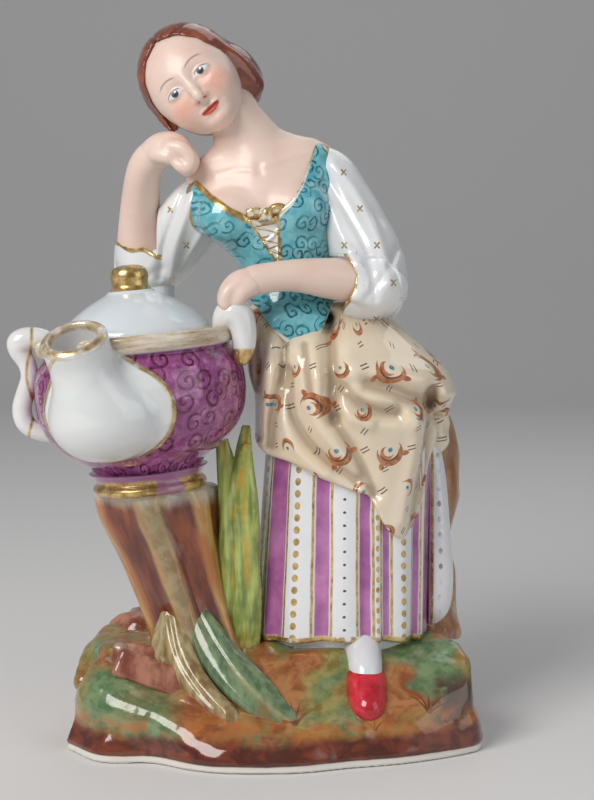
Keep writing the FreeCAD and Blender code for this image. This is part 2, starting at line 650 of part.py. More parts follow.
RIGHT_SHOULDER = SHOULDER_LINE + Vector(-13.5, 1.0, -4.0)
LEFT_SHOULDER = SHOULDER_LINE + Vector(16.0, 0.5, 0.0)
RIGHT_WRIST = HEAD + Vector(-13.6, 0.5, -17.0)
LEFT_ELBOW = WAIST + Vector(24.0, -7.0, -4.0)
HANDLE_TOP = on_pot(POT_BELLY_RADIUS - 1.0, -6.5, 1.14 * POT_HEIGHT)
LEFT_WRIST = HANDLE_TOP + Vector(4.5, 0.5, 6.0)


def make_right_sleeve(torso, rest, bust):
    """The full sleeve from her right shoulder down to the propped elbow."""
    s, e, r = RIGHT_SHOULDER, ELBOW, SLEEVE_RADIUS
    return trimmed(limb([(s + Vector(1, 0, 0), 0.80 * r), (s + (e - s) * 0.38, 1.04 * r), (s + (e - s) * 0.72, 1.08 * r), (e, r)]),
                   torso, bust, rest, lid_passage())


def make_right_forearm(sleeve):
    """The upright forearm."""
    start = ELBOW + Vector(-2.0, 0, 2.0)
    way = RIGHT_WRIST - start
    return trimmed(limb([(start, ARM_RADIUS), (start + way * 0.35, ARM_RADIUS), (start + way * 0.7, 0.86 * ARM_RADIUS),
                         (RIGHT_WRIST, 0.84 * ARM_RADIUS)]), sleeve, lid_passage())


def make_right_hand(forearm, head, hair, bust, bodice, sleeve):
    """The loosely closed hand under her cheek."""
    w = RIGHT_WRIST
    return trimmed(limb([(w + Vector(0.6, -0.8, 1.6), 3.9), (w + Vector(5.5, -3.6, 2.2), 4.5), (w + Vector(11.0, -4.6, -1.2), 4.1),
                         (w + Vector(12.4, -4.4, -5.0), 2.9)]), forearm, head, hair, bust, bodice, sleeve, lid_passage())


def make_left_sleeve(torso, bust, apron):
    """The full sleeve from her left shoulder to the bent elbow."""
    s, e, r = LEFT_SHOULDER, LEFT_ELBOW, SLEEVE_RADIUS
    return trimmed(limb([(s, 0.72 * r), (s + (e - s) * 0.33 + Vector(2, 0, 1), 0.92 * r), (s + (e - s) * 0.7 + Vector(2, 0, 0), 1.0 * r),
                         (e + Vector(-1, -1.5, 0), 1.06 * r)]), torso, bust, apron)


def make_left_forearm(sleeve, torso, bust, apron):
    """The forearm that lies across her waist."""
    e, w = LEFT_ELBOW, LEFT_WRIST
    way = w - e
    return trimmed(limb([(e + Vector(-3, -2.5, 0.5), 1.14 * ARM_RADIUS), (e + way * 0.38 + Vector(0, -2.0, 0.8), 1.06 * ARM_RADIUS),
                         (e + way * 0.7 + Vector(0, -1.4, 1.0), 0.84 * ARM_RADIUS), (w, 0.72 * ARM_RADIUS)]),
                   sleeve, torso, bust, apron)


def make_left_hand(forearm, handle, envelope, apron):
    """The hand that hangs over the pot's handle."""
    w = LEFT_WRIST
    return trimmed(limb([(w + Vector(-0.4, -0.2, 0), 3.7), (w + Vector(-4.0, -1.2, -2.4), 3.9),
                         (HANDLE_TOP + Vector(-1.2, -0.4, -1.0), 3.0)]), forearm, handle, envelope, apron, lid_passage())


def make_shoe(ground):
    """The slipper, flat on the sloping ground."""
    x = SKIRT_X + 4.6
    heel, toe = SKIRT_Y - SKIRT_HALF_DEPTH - 1.5, SKIRT_Y - SKIRT_HALF_DEPTH + 1.2 - SHOE_LENGTH
    middle = 0.45 * heel + 0.55 * toe
    return trimmed(limb([
        (Vector(x, heel, ground_height(heel) + 2.2), 3.5), (Vector(x + 0.3, middle, ground_height(middle) + 2.3), 4.2),
        (Vector(x + 0.6, toe, ground_height(toe) + 2.0), 3.0),
    ], 0.95), ground)


def make_leg(skirt, shoe, ground):
    """The stockinged ankle between the hem and the slipper."""
    x, front = SKIRT_X + 4.4, SKIRT_Y - SKIRT_HALF_DEPTH
    ankle = Vector(x, front - 2.4, ground_height(front) + 6.5)
    return trimmed(limb([(Vector(x - 0.4, front + 4.5, HEM_Z + 3.0), 4.3), (Vector(x - 0.2, front + 0.5, HEM_Z - 1.5), 4.1),
                         (ankle, 3.5)]), skirt, shoe, ground)


# ---------------------------------------------------------------- assembly
def build():
    """Every piece by its node name, each trimmed to the pieces that it was stuck against."""
    ground, envelope, head = solid_ground(), pot_envelope(), make_head()
    torso = torso_solid()
    made = {"base": make_base(), "pot_body": make_pot(), "pot_foot_ring": make_foot_ring()}
    made["lid"], made["lid_knob"] = make_lid(), make_knob()
    made["pot_spout"] = make_spout(envelope)
    made["pot_handle_left"], made["pot_handle_right"] = make_left_handle(envelope), make_right_handle(envelope)
    made["elbow_rest"] = make_elbow_rest(envelope, lid_passage())
    stump = made["tree_stump"] = make_stump(ground)
    root = made["stump_root"] = make_root(ground, stump)
    made["broad_leaf"] = make_leaf(ground, stump, root)
    made["block_rock"] = make_block_rock(ground, root)
    made["back_rock"] = make_back_rock(ground, stump)
    skirt_filled = loft(skirt_sections(0, HEM_Z, SKIRT_TOP))
    made["petticoat"] = make_petticoat(ground)
    apron = made["apron"] = make_apron(skirt_filled, envelope, torso)
    apron = made["apron"] = trimmed(apron, made["pot_handle_right"])
    made["grass_blades"] = trimmed(make_grass(ground, stump, envelope), skirt_filled, apron, made["broad_leaf"])
    seat = made["seat_rock"] = trimmed(make_seat(ground), skirt_filled, apron, torso)
    fold = made["petticoat_fold"] = trimmed(make_back_fold(ground, skirt_filled, seat), apron)
    made["apron_gather"] = make_apron_gather(apron, skirt_filled, seat, fold)
    bodice = made["bodice"] = make_bodice(torso)
    bust = made["bust"] = trimmed(make_bust(torso, head), bodice)
    made["neckline_bow"] = make_bow(bodice, bust)
    made["head"] = head
    hair = made["hair"] = make_hair(head, bust)
    sleeve = made["sleeve_right"] = make_right_sleeve(torso, made["elbow_rest"], bust)
    forearm = made["forearm_right"] = trimmed(make_right_forearm(sleeve), head, hair)
    made["hand_right"] = make_right_hand(forearm, head, hair, bust, bodice, sleeve)
    sleeve = made["sleeve_left"] = make_left_sleeve(torso, bust, apron)
    forearm = made["forearm_left"] = make_left_forearm(sleeve, torso, bust, apron)
    made["hand_left"] = trimmed(make_left_hand(forearm, made["pot_handle_right"], envelope, apron), torso)
    shoe = made["shoe"] = make_shoe(ground)
    made["leg"] = make_leg(skirt_filled, shoe, ground)
    return made


os.makedirs("parts", exist_ok=True)
for node, shape in build().items():
    shape.exportStep(os.path.join("parts", node + ".step"))
    box = shape.optimalBoundingBox()
    print(f"{node:18s} {shape.Volume:9.1f} mm3  valid {shape.isValid()}  solids {len(shape.Solids)}"
          f"  x {box.XMin:6.1f} {box.XMax:6.1f}  y {box.YMin:6.1f} {box.YMax:6.1f}  z {box.ZMin:6.1f} {box.ZMax:6.1f}")
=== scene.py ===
# %% [markdown]
# # A painted porcelain figurine, piece by piece
# The real object is many small pieces of white clay, moulded one by one, stuck together, fired, painted,
# fired again under a clear glaze, and touched with gold.  This lesson makes the same pieces in Blender.
# First comes the frame: the solid model that says where every piece sits.  All the sizes below are in
# millimetres, and are scaled by the frame's own height, so the looks follow the solid model.

# %% Load the frame
import math
import bpy
import numpy as np
import openvdb
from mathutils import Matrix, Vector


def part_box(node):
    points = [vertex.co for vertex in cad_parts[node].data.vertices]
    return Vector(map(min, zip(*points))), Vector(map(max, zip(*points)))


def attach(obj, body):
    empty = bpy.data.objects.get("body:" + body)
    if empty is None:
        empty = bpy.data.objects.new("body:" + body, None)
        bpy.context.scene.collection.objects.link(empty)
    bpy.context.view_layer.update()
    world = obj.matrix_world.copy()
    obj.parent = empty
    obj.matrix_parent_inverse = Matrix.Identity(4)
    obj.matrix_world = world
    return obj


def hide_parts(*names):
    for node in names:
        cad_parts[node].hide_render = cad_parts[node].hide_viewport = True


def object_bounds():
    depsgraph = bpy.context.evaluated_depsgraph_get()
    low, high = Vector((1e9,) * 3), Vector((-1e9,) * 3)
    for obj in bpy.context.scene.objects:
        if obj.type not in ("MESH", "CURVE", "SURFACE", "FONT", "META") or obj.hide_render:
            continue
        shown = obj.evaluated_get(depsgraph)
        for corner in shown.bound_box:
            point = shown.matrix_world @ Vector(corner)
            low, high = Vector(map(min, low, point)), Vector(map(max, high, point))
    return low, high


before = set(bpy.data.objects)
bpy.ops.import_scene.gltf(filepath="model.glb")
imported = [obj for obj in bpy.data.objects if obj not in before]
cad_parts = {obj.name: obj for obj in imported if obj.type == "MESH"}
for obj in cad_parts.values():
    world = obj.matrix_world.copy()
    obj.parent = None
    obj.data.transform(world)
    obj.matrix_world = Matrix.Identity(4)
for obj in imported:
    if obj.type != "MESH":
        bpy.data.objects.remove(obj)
cad_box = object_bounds()
DESIGN_HEIGHT = 189.1
MM = (cad_box[1][2] - cad_box[0][2]) / DESIGN_HEIGHT     # metres for one millimetre of this design


def node_box(node):
    """Lowest and highest corner of a solid piece, in design millimetres."""
    low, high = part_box(node)
    return np.array(low) / MM, np.array(high) / MM


def middle(node):
    """Centre of a solid piece, in design millimetres."""
    low, high = node_box(node)
    return (low + high) / 2


# %% [markdown]
# ## Clay as a distance function
# Porcelain has no sharp creases: the glaze rounds every corner.  Polygon modelling makes such soft joints
# hard, so most pieces are written as a *signed distance*: a function that is negative inside the clay and
# positive outside.  Two lumps melt together when their distances are blended, and a fold is a small number
# added along a line.  Here are the few shapes that everything else is built from.

# %% Lumps, limbs and blends
def blend(a, b, soft):
    """Both lumps, melted together over the width soft."""
    h = np.clip(0.5 + 0.5 * (b - a) / soft, 0, 1)
    return b + (a - b) * h - soft * h * (1 - h)


def carve(a, b, soft):
    """Lump a with lump b pressed out of it."""
    return -blend(-a, b, soft)


def overlap(a, b, soft):
    """Only what is in both lumps."""
    return -blend(-a, -b, soft)


def egg(p, centre, radii, turn=None):
    """An egg.  turn holds its three own directions, one in each row."""
    x, y, z = p[0] - centre[0], p[1] - centre[1], p[2] - centre[2]
    if turn is not None:
        x, y, z = (x * row[0] + y * row[1] + z * row[2] for row in np.asarray(turn, np.float32))
    a, b, c = radii
    size = np.sqrt((x / a) ** 2 + (y / b) ** 2 + (z / c) ** 2) + 1e-6
    slope = np.sqrt((x / a ** 2) ** 2 + (y / b ** 2) ** 2 + (z / c ** 2) ** 2) + 1e-6
    return size * (size - 1) / slope


def smooth_path(points, steps=6):
    """Points along a smooth curve through the given points; any extra columns, such as radii, come along."""
    points = np.array(points, float)
    ends = np.vstack([2 * points[0] - points[1], points, 2 * points[-1] - points[-2]])
    out = []
    for a, b, c, d in zip(ends, ends[1:], ends[2:], ends[3:]):
        for t in np.arange(steps) / steps:
            out.append(0.5 * (2 * b + (c - a) * t + (2 * a - 5 * b + 4 * c - d) * t ** 2
                    + (3 * b - a - 3 * c + d) * t ** 3))
    return np.array(out + [points[-1]])


def limb(p, stations, steps=5, soft=0.6, flat=None):
    """A rounded limb through (x, y, z, radius) stations.  flat=(axis, share) thins it along one axis."""
    path = smooth_path(stations, steps)
    x, y, z = p
    stretch = [1.0, 1.0, 1.0]
    if flat:
        stretch[flat[0]] = 1 / flat[1]
    total = None
    for a, b in zip(path, path[1:]):
        way = (b - a)[:3] * stretch
        dx, dy, dz = (x - a[0]) * stretch[0], (y - a[1]) * stretch[1], (z - a[2]) * stretch[2]
        t = np.clip((dx * way[0] + dy * way[1] + dz * way[2]) / max(1e-6, way @ way), 0, 1)
        d = np.sqrt((dx - t * way[0]) ** 2 + (dy - t * way[1]) ** 2 + (dz - t * way[2]) ** 2) - (a[3]
                + t * (b[3] - a[3]))
        total = d if total is None else blend(total, d, soft)
    return total / max(stretch)


def stroke(u, v, points, width, height, steps=5):
    """A soft ridge (or, with a negative height, a groove) along a drawn line in the plane of u and v."""
    path = smooth_path(points, steps)
    near = None
    for a, b in zip(path, path[1:]):
        way = b - a
        t = np.clip(((u - a[0]) * way[0] + (v - a[1]) * way[1]) / max(1e-6, way @ way), 0, 1)
        d = (u - a[0] - t * way[0]) ** 2 + (v - a[1] - t * way[1]) ** 2
        near = d if near is None else np.minimum(near, d)
    return height * np.exp(-near / width ** 2)


def ripple(x, y, z, size, seed=0):
    """Smooth unevenness between about -1 and 1, with bumps of about size."""
    rng = np.random.default_rng(seed)
    total = 0.0
    for _ in range(5):
        way = rng.normal(size=3)
        way *= 2 * math.pi / size / np.linalg.norm(way) * rng.uniform(0.6, 1.1)
        total = total + np.sin(x * way[0] + y * way[1] + z * way[2] + rng.uniform(0, 6.28))
    return total / 3.2


def step_up(value, start, end):
    """0 before start, 1 after end, and a smooth rise between them."""
    t = np.clip((value - start) / (end - start), 0, 1)
    return t * t * (3 - 2 * t)


print("a melted pair is", round(float(blend(np.float64(1), np.float64(1), 2.0)), 2),
      "closer than either lump")

# %% [markdown]
# ## From distance to skin
# A grid of samples is enough to find the skin of the clay.  The grid is only filled in near the skin, the
# skin comes out as even quads, and every point is then slid exactly onto the surface: that keeps long glossy
# highlights smooth.  `paint` stores numbers on the points, such as how far along a cloth a point lies; the
# painted patterns are drawn with them later.

# %% The sculpting table
PIECES = {}
BLOCK = 8


def sample(shape, low, high, step):
    """The distance function on a grid, worked out only in the blocks that the skin may pass through."""
    count = np.ceil((high - low) / step / BLOCK).astype(int) + 1
    centres = [(low[i] + step * (BLOCK * np.arange(count[i]) + (BLOCK - 1) / 2)).astype(np.float32)
            for i in range(3)]
    coarse = np.broadcast_to(shape((centres[0][:, None, None], centres[1][None, :, None],
            centres[2][None, None, :])), count)
    near = np.abs(coarse) < 1.45 * BLOCK * step
    index = np.argwhere(near)
    inside = np.arange(BLOCK)
    axes = [(low[i] + step * (BLOCK * index[:, i, None] + inside)).astype(np.float32) for i in range(3)]
    fine = np.broadcast_to(shape((axes[0][:, :, None, None], axes[1][:, None, :, None],
            axes[2][:, None, None, :])),
                           (len(index), BLOCK, BLOCK, BLOCK))
    full = np.empty((*count, BLOCK, BLOCK, BLOCK), np.float32)
    full[:] = np.where(coarse > 0, 3 * step, -3 * step)[..., None, None, None]
    full[near] = np.clip(fine, -3 * step, 3 * step)
    return full.transpose(0, 3, 1, 4, 2, 5).reshape(count * BLOCK)


def neighbours_mean(points, edges, degree):
    """For each point, the mean of the points that it is joined to."""
    total = np.empty_like(points)
    for axis in range(3):
        total[:, axis] = (np.bincount(edges[:, 0], points[edges[:, 1], axis], len(points))
                          + np.bincount(edges[:, 1], points[edges[:, 0], axis], len(points)))
    return total / degree[:, None]


def biggest_shell(points, faces, edges):
    """Drops crumbs: keeps only the largest joined-up part of a mesh."""
    label = np.arange(len(points))
    while True:
        low = np.minimum(label[edges[:, 0]], label[edges[:, 1]])
        new = label.copy()
        np.minimum.at(new, edges[:, 0], low)
        np.minimum.at(new, edges[:, 1], low)
        new = new[new]
        if np.array_equal(new, label):
            break
        label = new
    keep = label == np.bincount(label).argmax()
    number = np.cumsum(keep) - 1
    return points[keep], number[faces[keep[faces[:, 0]]]]


def skin_mesh(name, points, faces):
    """A Blender mesh object from points in millimetres and quads."""
    mesh = bpy.data.meshes.new(name)
    mesh.vertices.add(len(points))
    mesh.vertices.foreach_set("co", (points * MM).astype(np.float32).ravel())
    mesh.loops.add(faces.size)
    mesh.loops.foreach_set("vertex_index", faces.astype(np.int32).ravel())
    mesh.polygons.add(len(faces))
    mesh.polygons.foreach_set("loop_start", np.arange(0, faces.size, faces.shape[1], dtype=np.int32))
    mesh.update(calc_edges=True)
    mesh.validate()
    mesh.shade_smooth()
    piece = bpy.data.objects.new(name, mesh)
    bpy.context.scene.collection.objects.link(piece)
    return piece


def store(piece, name, values):
    """Keeps one number, or one vector, on every point of a piece."""
    values = np.asarray(values, np.float32)
    vector = values.ndim == 2
    attribute = piece.data.attributes.new(name, "FLOAT_VECTOR" if vector else "FLOAT", "POINT")
    attribute.data.foreach_set("vector" if vector else "value", values.ravel())


def quad_edges(faces):
    """Every edge of a mesh of quads, once."""
    sides = np.vstack([faces[:, [i, (i + 1) % 4]] for i in range(4)])
    return np.unique(np.sort(sides, axis=1), axis=0)


def sculpt(name, shape, low, high, step, paint=None, even=2):
    """Makes a piece from its distance function inside the box from low to high."""
    step = step * 1.0
    low, high = np.array(low, float) - 2 * step, np.array(high, float) + 2 * step
    grid = openvdb.FloatGrid(3 * step)
    grid.copyFromArray(sample(shape, low, high, step))
    points, faces = grid.convertToQuads(0.0)
    points = low + np.asarray(points, float) * step
    faces = np.asarray(faces, np.int64)
    points, faces = biggest_shell(points, faces, quad_edges(faces))
    edges = quad_edges(faces)
    degree = np.bincount(edges.ravel(), minlength=len(points))
    reach = 0.02
    for _ in range(even):
        points = 0.45 * points + 0.55 * neighbours_mean(points, edges, degree)
        here = shape(tuple(points.T))
        slope = np.stack([(shape(tuple((points + reach * np.eye(3)[i]).T)) - here) / reach
                for i in range(3)], 1)
        pull = slope * (here / np.maximum((slope ** 2).sum(1), 0.15))[:, None]
        points = points - np.clip(pull, -0.5 * step, 0.5 * step)
    piece = skin_mesh(name, points, faces)
    for key, value in (paint(tuple(points.T)) if paint else {}).items():
        store(piece, key, value)
    PIECES[name] = piece
    print(f"{name}: {len(faces)} quads")
    return piece

# %% [markdown]
# ## Paint as arithmetic
# Every colour on porcelain is paint under one clear glaze, so all the finishes share one recipe and differ
# only in their drawing.  Drawing with nodes gets long, so a small class wraps a socket and lets the drawing
# be written as ordinary sums: `1 - mask`, `(x / 3).sin()`.  Colours never pass through a Math node, which
# would turn them grey; they are laid one over another with a Mix node.

# %% One value on its way through a material
class Ink:
    """A socket in a material.  Sums on it add Math nodes."""

    def __init__(self, tree, socket):
        self.tree, self.socket = tree, socket

    def node(self, kind, settings=(), sockets=(), out=0):
        """Any node: its settings are set first, then its sockets by name or number."""
        made = self.tree.nodes.new(kind)
        for key, value in dict(settings).items():
            setattr(made, key, value)
        for key, value in dict(sockets).items():
            if isinstance(value, Ink):
                self.tree.links.new(value.socket, made.inputs[key])
            else:
                made.inputs[key].default_value = value
        return Ink(self.tree, made.outputs[out])

    def sum(self, operation, *values):
        return self.node("ShaderNodeMath", {"operation": operation}, dict(enumerate(values)))

    def __add__(self, other): return self.sum("ADD", self, other)
    def __radd__(self, other): return self.sum("ADD", other, self)
    def __sub__(self, other): return self.sum("SUBTRACT", self, other)
    def __rsub__(self, other): return self.sum("SUBTRACT", other, self)
    def __mul__(self, other): return self.sum("MULTIPLY", self, other)
    def __rmul__(self, other): return self.sum("MULTIPLY", other, self)
    def __truediv__(self, other): return self.sum("DIVIDE", self, other)
    def __rtruediv__(self, other): return self.sum("DIVIDE", other, self)
    def __neg__(self): return self.sum("MULTIPLY", self, -1.0)
    def sin(self): return self.sum("SINE", self)
    def size(self): return self.sum("ABSOLUTE", self)
    def root(self): return self.sum("SQRT", self)
    def low(self, other): return self.sum("MINIMUM", self, other)
    def high(self, other): return self.sum("MAXIMUM", self, other)
    def wrap(self, top): return self.sum("WRAP", self, top, 0.0)
    def floor(self): return self.sum("FLOOR", self)

    def rise(self, start, end):
        """0 before start, 1 after end, smooth between them."""
        if start > end:
            return 1 - self.rise(end, start)
        return self.node("ShaderNodeMapRange", {"interpolation_type": "SMOOTHSTEP"},
                {0: self, 1: start, 2: end})

    def band(self, middle, half, soft=0.08):
        """1 within half of middle, fading over soft."""
        return (self - middle).size().rise(half + soft, half - soft)

    def over(self, under, mask):
        """This colour laid over another where the mask is 1."""
        return self.node("ShaderNodeMix", {"data_type": "RGBA"}, {0: mask, 6: under, 7: self}, out=2)

    def move(self, operation, other, out=0):
        """A Vector Math node."""
        return self.node("ShaderNodeVectorMath", {"operation": operation}, {0: self, 1: other}, out=out)

    def parts(self):
        """The three numbers of a vector."""
        split = self.node("ShaderNodeSeparateXYZ", (), {0: self})
        made = split.socket.node
        return [Ink(self.tree, socket) for socket in made.outputs]

    def cloud(self, size, detail=2.0, rough=0.5, seed=0.0):
        """Soft noise from 0 to 1 on a place, with blotches of about size."""
        return self.node("ShaderNodeTexNoise", {"noise_dimensions": "4D"},
                         {"Vector": self, "W": seed, "Scale": 1.0 / size, "Detail": detail,
                          "Roughness": rough})


def glaze_tree(name):
    """An empty material with its place (in millimetres) ready to draw with."""
    material = bpy.data.materials.new(name)
    material.use_nodes = True
    tree = material.node_tree
    tree.nodes.clear()
    shader = tree.nodes.new("ShaderNodeBsdfPrincipled")
    output = tree.nodes.new("ShaderNodeOutputMaterial")
    tree.links.new(shader.outputs[0], output.inputs[0])
    start = Ink(tree, tree.nodes.new("ShaderNodeTexCoord").outputs["Object"])
    place = start.move("MULTIPLY", (1 / MM, 1 / MM, 1 / MM))
    return material, shader, place


def value_of(ink, name, vector=False):
    """Reads what was stored on the points under this name."""
    return ink.node("ShaderNodeAttribute", {"attribute_name": name}, out=1 if vector else 2)


def fire(material, shader, place, colour, gold=None, gold_wear=0.35, ripple_size=7.0, bump=0.010,
        speck=0.25, glow=0.0, shine=0.6, base_rough=0.07):
    """Finishes a glaze: the clear coat, tiny pits and specks, gold that has rubbed thin, and a hand-dipped waviness."""
    tree = material.node_tree
    dirt = place.cloud(0.55, 1.0, 0.5, 4.0).rise(0.72, 0.86) * place.cloud(9.0, 1.0, 0.5, 8.0).rise(0.45,
            0.75) * speck
    colour = place.node("ShaderNodeMix", {"data_type": "RGBA"},
            {0: dirt, 6: colour, 7: (0.16, 0.11, 0.07, 1)}, out=2)
    rough = base_rough + 0.10 * place.cloud(3.0, 3.0, 0.6, 2.0)
    if gold is not None:
        worn = place.cloud(1.1, 4.0, 0.65, 6.0).rise(gold_wear - 0.10, gold_wear + 0.12)
        leaf = gold * worn
        tint = place.node("ShaderNodeValToRGB", (), {0: place.cloud(2.2, 2.0, 0.6, 9.0)})
        ramp = tint.socket.node.color_ramp
        ramp.elements[0].position, ramp.elements[0].color = 0.35, (0.42, 0.25, 0.07, 1)
        ramp.elements[1].position, ramp.elements[1].color = 0.62, (0.80, 0.58, 0.22, 1)
        stain = place.node("ShaderNodeMix", {"data_type": "RGBA"},
                {0: gold * 0.55, 6: colour, 7: (0.55, 0.40, 0.22, 1)}, out=2)
        colour = tint.over(stain, leaf)
        tree.links.new((leaf * 0.75).socket, shader.inputs["Metallic"])
        rough = rough + leaf * 0.16
    wave = place.cloud(ripple_size, 1.0, 0.5, 1.0)
    pits = place.cloud(0.5, 1.0, 0.5, 3.0)
    normal = place.node("ShaderNodeBump", (), {"Height": wave + pits * 0.05, "Distance": bump * 22 * MM,
            "Strength": 0.6})
    tree.links.new(colour.socket, shader.inputs["Base Color"])
    tree.links.new(rough.socket, shader.inputs["Roughness"])
    tree.links.new(normal.socket, shader.inputs["Normal"])
    shader.inputs["IOR"].default_value = 1.52
    shader.inputs["Coat Weight"].default_value = shine
    shader.inputs["Coat Roughness"].default_value = 0.04
    if glow:
        shader.inputs["Subsurface Weight"].default_value = glow
        shader.inputs["Subsurface Radius"].default_value = (1.6 * MM, 1.0 * MM, 0.7 * MM)
        shader.inputs["Subsurface Scale"].default_value = 1.0
    return material


def colour(place, red, green, blue):
    """A plain colour to draw with."""
    ink = place.node("ShaderNodeRGB")
    ink.socket.default_value = (red, green, blue, 1)
    return ink


def dress(piece, material, body, slot, *nodes):
    """Gives a finished piece its material and the body it moves with, and hides the solid pieces it stands for."""
    piece.data.materials.clear()
    piece.data.materials.append(material)
    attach(piece, body)
    if nodes:
        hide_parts(*nodes)


print("ready to paint")

# %% [markdown]
# ## White ware
# Spout, handles and lid were left white: the clay shows faintly grey and blue through the glaze, and a
# little brown has settled where hands have been.  `edge` is a stored number, the distance from a gilt edge.

# %% White porcelain, with gold where a piece asks for it
def white_ware(name, tone=(0.80, 0.83, 0.85), gold=None):
    material, shader, place = glaze_tree(name)
    clean = colour(place, *tone)
    shade = colour(place, 0.52, 0.55, 0.60).over(clean, place.cloud(16, 2, 0.5, 3).rise(0.45, 0.85) * 0.35)
    aged = colour(place, 0.62, 0.52, 0.40).over(shade, place.cloud(6, 3, 0.6, 5).rise(0.62, 0.85) * 0.30)
    return fire(material, shader, place, aged, gold(place) if gold else None, glow=0.12)


plain_white = white_ware("white_glaze")
print("materials:", len(bpy.data.materials))

# %% [markdown]
# ## The pot, its lid, knob and foot ring
# These were turned on a wheel: one outline spun about an axis.  A Geometry Nodes tree does exactly that.  It
# takes the outline as a string of points, lays them round the axis on a grid, stores each point's place on
# the untilted pot for the painter, leans the pot, and gives it its material.

# %% A wheel in Geometry Nodes
def wheel_tree():
    tree = bpy.data.node_groups.new("potters_wheel", "GeometryNodeTree")
    face = tree.interface
    face.new_socket("Outline", in_out="INPUT", socket_type="NodeSocketGeometry")
    for name, kind, value in (("Steps round", "NodeSocketInt", 160),
            ("Outline points", "NodeSocketInt", 60),
                              ("Foot", "NodeSocketVector", (0, 0, 0)), ("Lean", "NodeSocketFloat", 0.0),
                              ("Material", "NodeSocketMaterial", None)):
        socket = face.new_socket(name, in_out="INPUT", socket_type=kind)
        if value is not None:
            socket.default_value = value
    face.new_socket("Piece", in_out="OUTPUT", socket_type="NodeSocketGeometry")

    def node(kind, settings=(), sockets=()):
        made = tree.nodes.new(kind)
        for key, value in dict(settings).items():
            setattr(made, key, value)
        for key, value in dict(sockets).items():
            if isinstance(value, bpy.types.NodeSocket):
                tree.links.new(value, made.inputs[key])
            else:
                made.inputs[key].default_value = value
        return made

    def maths(operation, *values):
        return node("ShaderNodeMath", {"operation": operation}, dict(enumerate(values))).outputs[0]

    given = node("NodeGroupInput").outputs
    columns = maths("ADD", given["Steps round"], 1.0)
    grid = node("GeometryNodeMeshGrid", (), {"Vertices X": columns, "Vertices Y": given["Outline points"]})
    where = node("ShaderNodeSeparateXYZ", (), {0: grid.outputs["UV Map"]}).outputs
    row = maths("ROUND", maths("MULTIPLY", where["Y"], maths("SUBTRACT", given["Outline points"], 1.0)))
    point = node("GeometryNodeSampleIndex", {"data_type": "FLOAT_VECTOR", "domain": "POINT"},
                 {"Geometry": given["Outline"], "Value": node("GeometryNodeInputPosition").outputs[0],
                  "Index": row})
    outline = node("ShaderNodeSeparateXYZ", (), {0: point.outputs[0]}).outputs
    angle = maths("MULTIPLY", where["X"], 2 * math.pi)
    spun = node("ShaderNodeCombineXYZ", (), {0: maths("MULTIPLY", outline["X"], maths("COSINE", angle)),
                                           1: maths("MULTIPLY", outline["X"], maths("SINE", angle)),
                                             2: outline["Z"]}).outputs[0]
    placed = node("GeometryNodeSetPosition", (), {"Geometry": grid.outputs["Mesh"], "Position": spun})
    welded = node("GeometryNodeMergeByDistance", (), {"Geometry": placed.outputs[0],
            "Distance": 0.004 * MM})
    flat = node("ShaderNodeVectorMath", {"operation": "SCALE"},
            {0: node("GeometryNodeInputPosition").outputs[0], "Scale": 1 / MM})
    kept = node("GeometryNodeStoreNamedAttribute", {"data_type": "FLOAT_VECTOR", "domain": "POINT"},
                {"Geometry": welded.outputs[0], "Name": "turned", "Value": flat.outputs[0]})
    lean = node("ShaderNodeCombineXYZ", (), {1: given["Lean"]}).outputs[0]
    stood = node("GeometryNodeTransform", (), {"Geometry": kept.outputs[0], "Translation": given["Foot"],
            "Rotation": lean})
    smooth = node("GeometryNodeSetShadeSmooth", (), {0: stood.outputs[0]})
    real = node("GeometryNodeRealizeInstances", (), {0: smooth.outputs[0]})
    last = node("GeometryNodeSetMaterial", (), {"Geometry": real.outputs[0], "Material": given["Material"]})
    tree.links.new(last.outputs[0], node("NodeGroupOutput").inputs[0])
    return tree


def bake_nodes(carrier, tree, values, name):
    """Runs a tree on a carrier object and keeps its result as a plain mesh piece."""
    modifier = carrier.modifiers.new("make", "NODES")
    modifier.node_group = tree
    for item in tree.interface.items_tree:
        if item.in_out == "INPUT" and item.name in values:
            modifier[item.identifier] = values[item.name]
    graph = bpy.context.evaluated_depsgraph_get()
    mesh = bpy.data.meshes.new_from_object(carrier.evaluated_get(graph))
    mesh.name = name
    piece = bpy.data.objects.new(name, mesh)
    bpy.context.scene.collection.objects.link(piece)
    old = carrier.data
    bpy.data.objects.remove(carrier)
    bpy.data.meshes.remove(old)
    PIECES[name] = piece
    print(f"{name}: {len(mesh.polygons)} faces")
    return piece


wheel = wheel_tree()
LEAN = math.radians(5.2)
ring_low, ring_high = node_box("pot_foot_ring")
FOOT_LEVEL, HALF_RING = 67.0, 1.6
POT_FOOT = np.array([*((ring_low + ring_high)[:2] / 2), FOOT_LEVEL])
POT_FOOT[0] += HALF_RING * math.sin(LEAN)


def from_pot(p):
    """The pot's own upright coordinates of a place."""
    x, y, z = p[0] - POT_FOOT[0], p[1] - POT_FOOT[1], p[2] - POT_FOOT[2]
    return x * math.cos(LEAN) + z * math.sin(LEAN), y, z * math.cos(LEAN) - x * math.sin(LEAN)


def turned_piece(name, outline, material, rounds=168):
    """Spins an outline of (radius, height) points on the wheel."""
    mesh = bpy.data.meshes.new("outline")
    mesh.from_pydata([(r * MM, 0, h * MM) for r, h in outline],
            [(i, i + 1) for i in range(len(outline) - 1)], [])
    carrier = bpy.data.objects.new("outline", mesh)
    bpy.context.scene.collection.objects.link(carrier)
    return bake_nodes(carrier, wheel, {"Steps round": rounds, "Outline points": len(outline),
            "Foot": list(POT_FOOT * MM),
                                       "Lean": -LEAN, "Material": material}, name)


print("pot foot at", POT_FOOT.round(2))

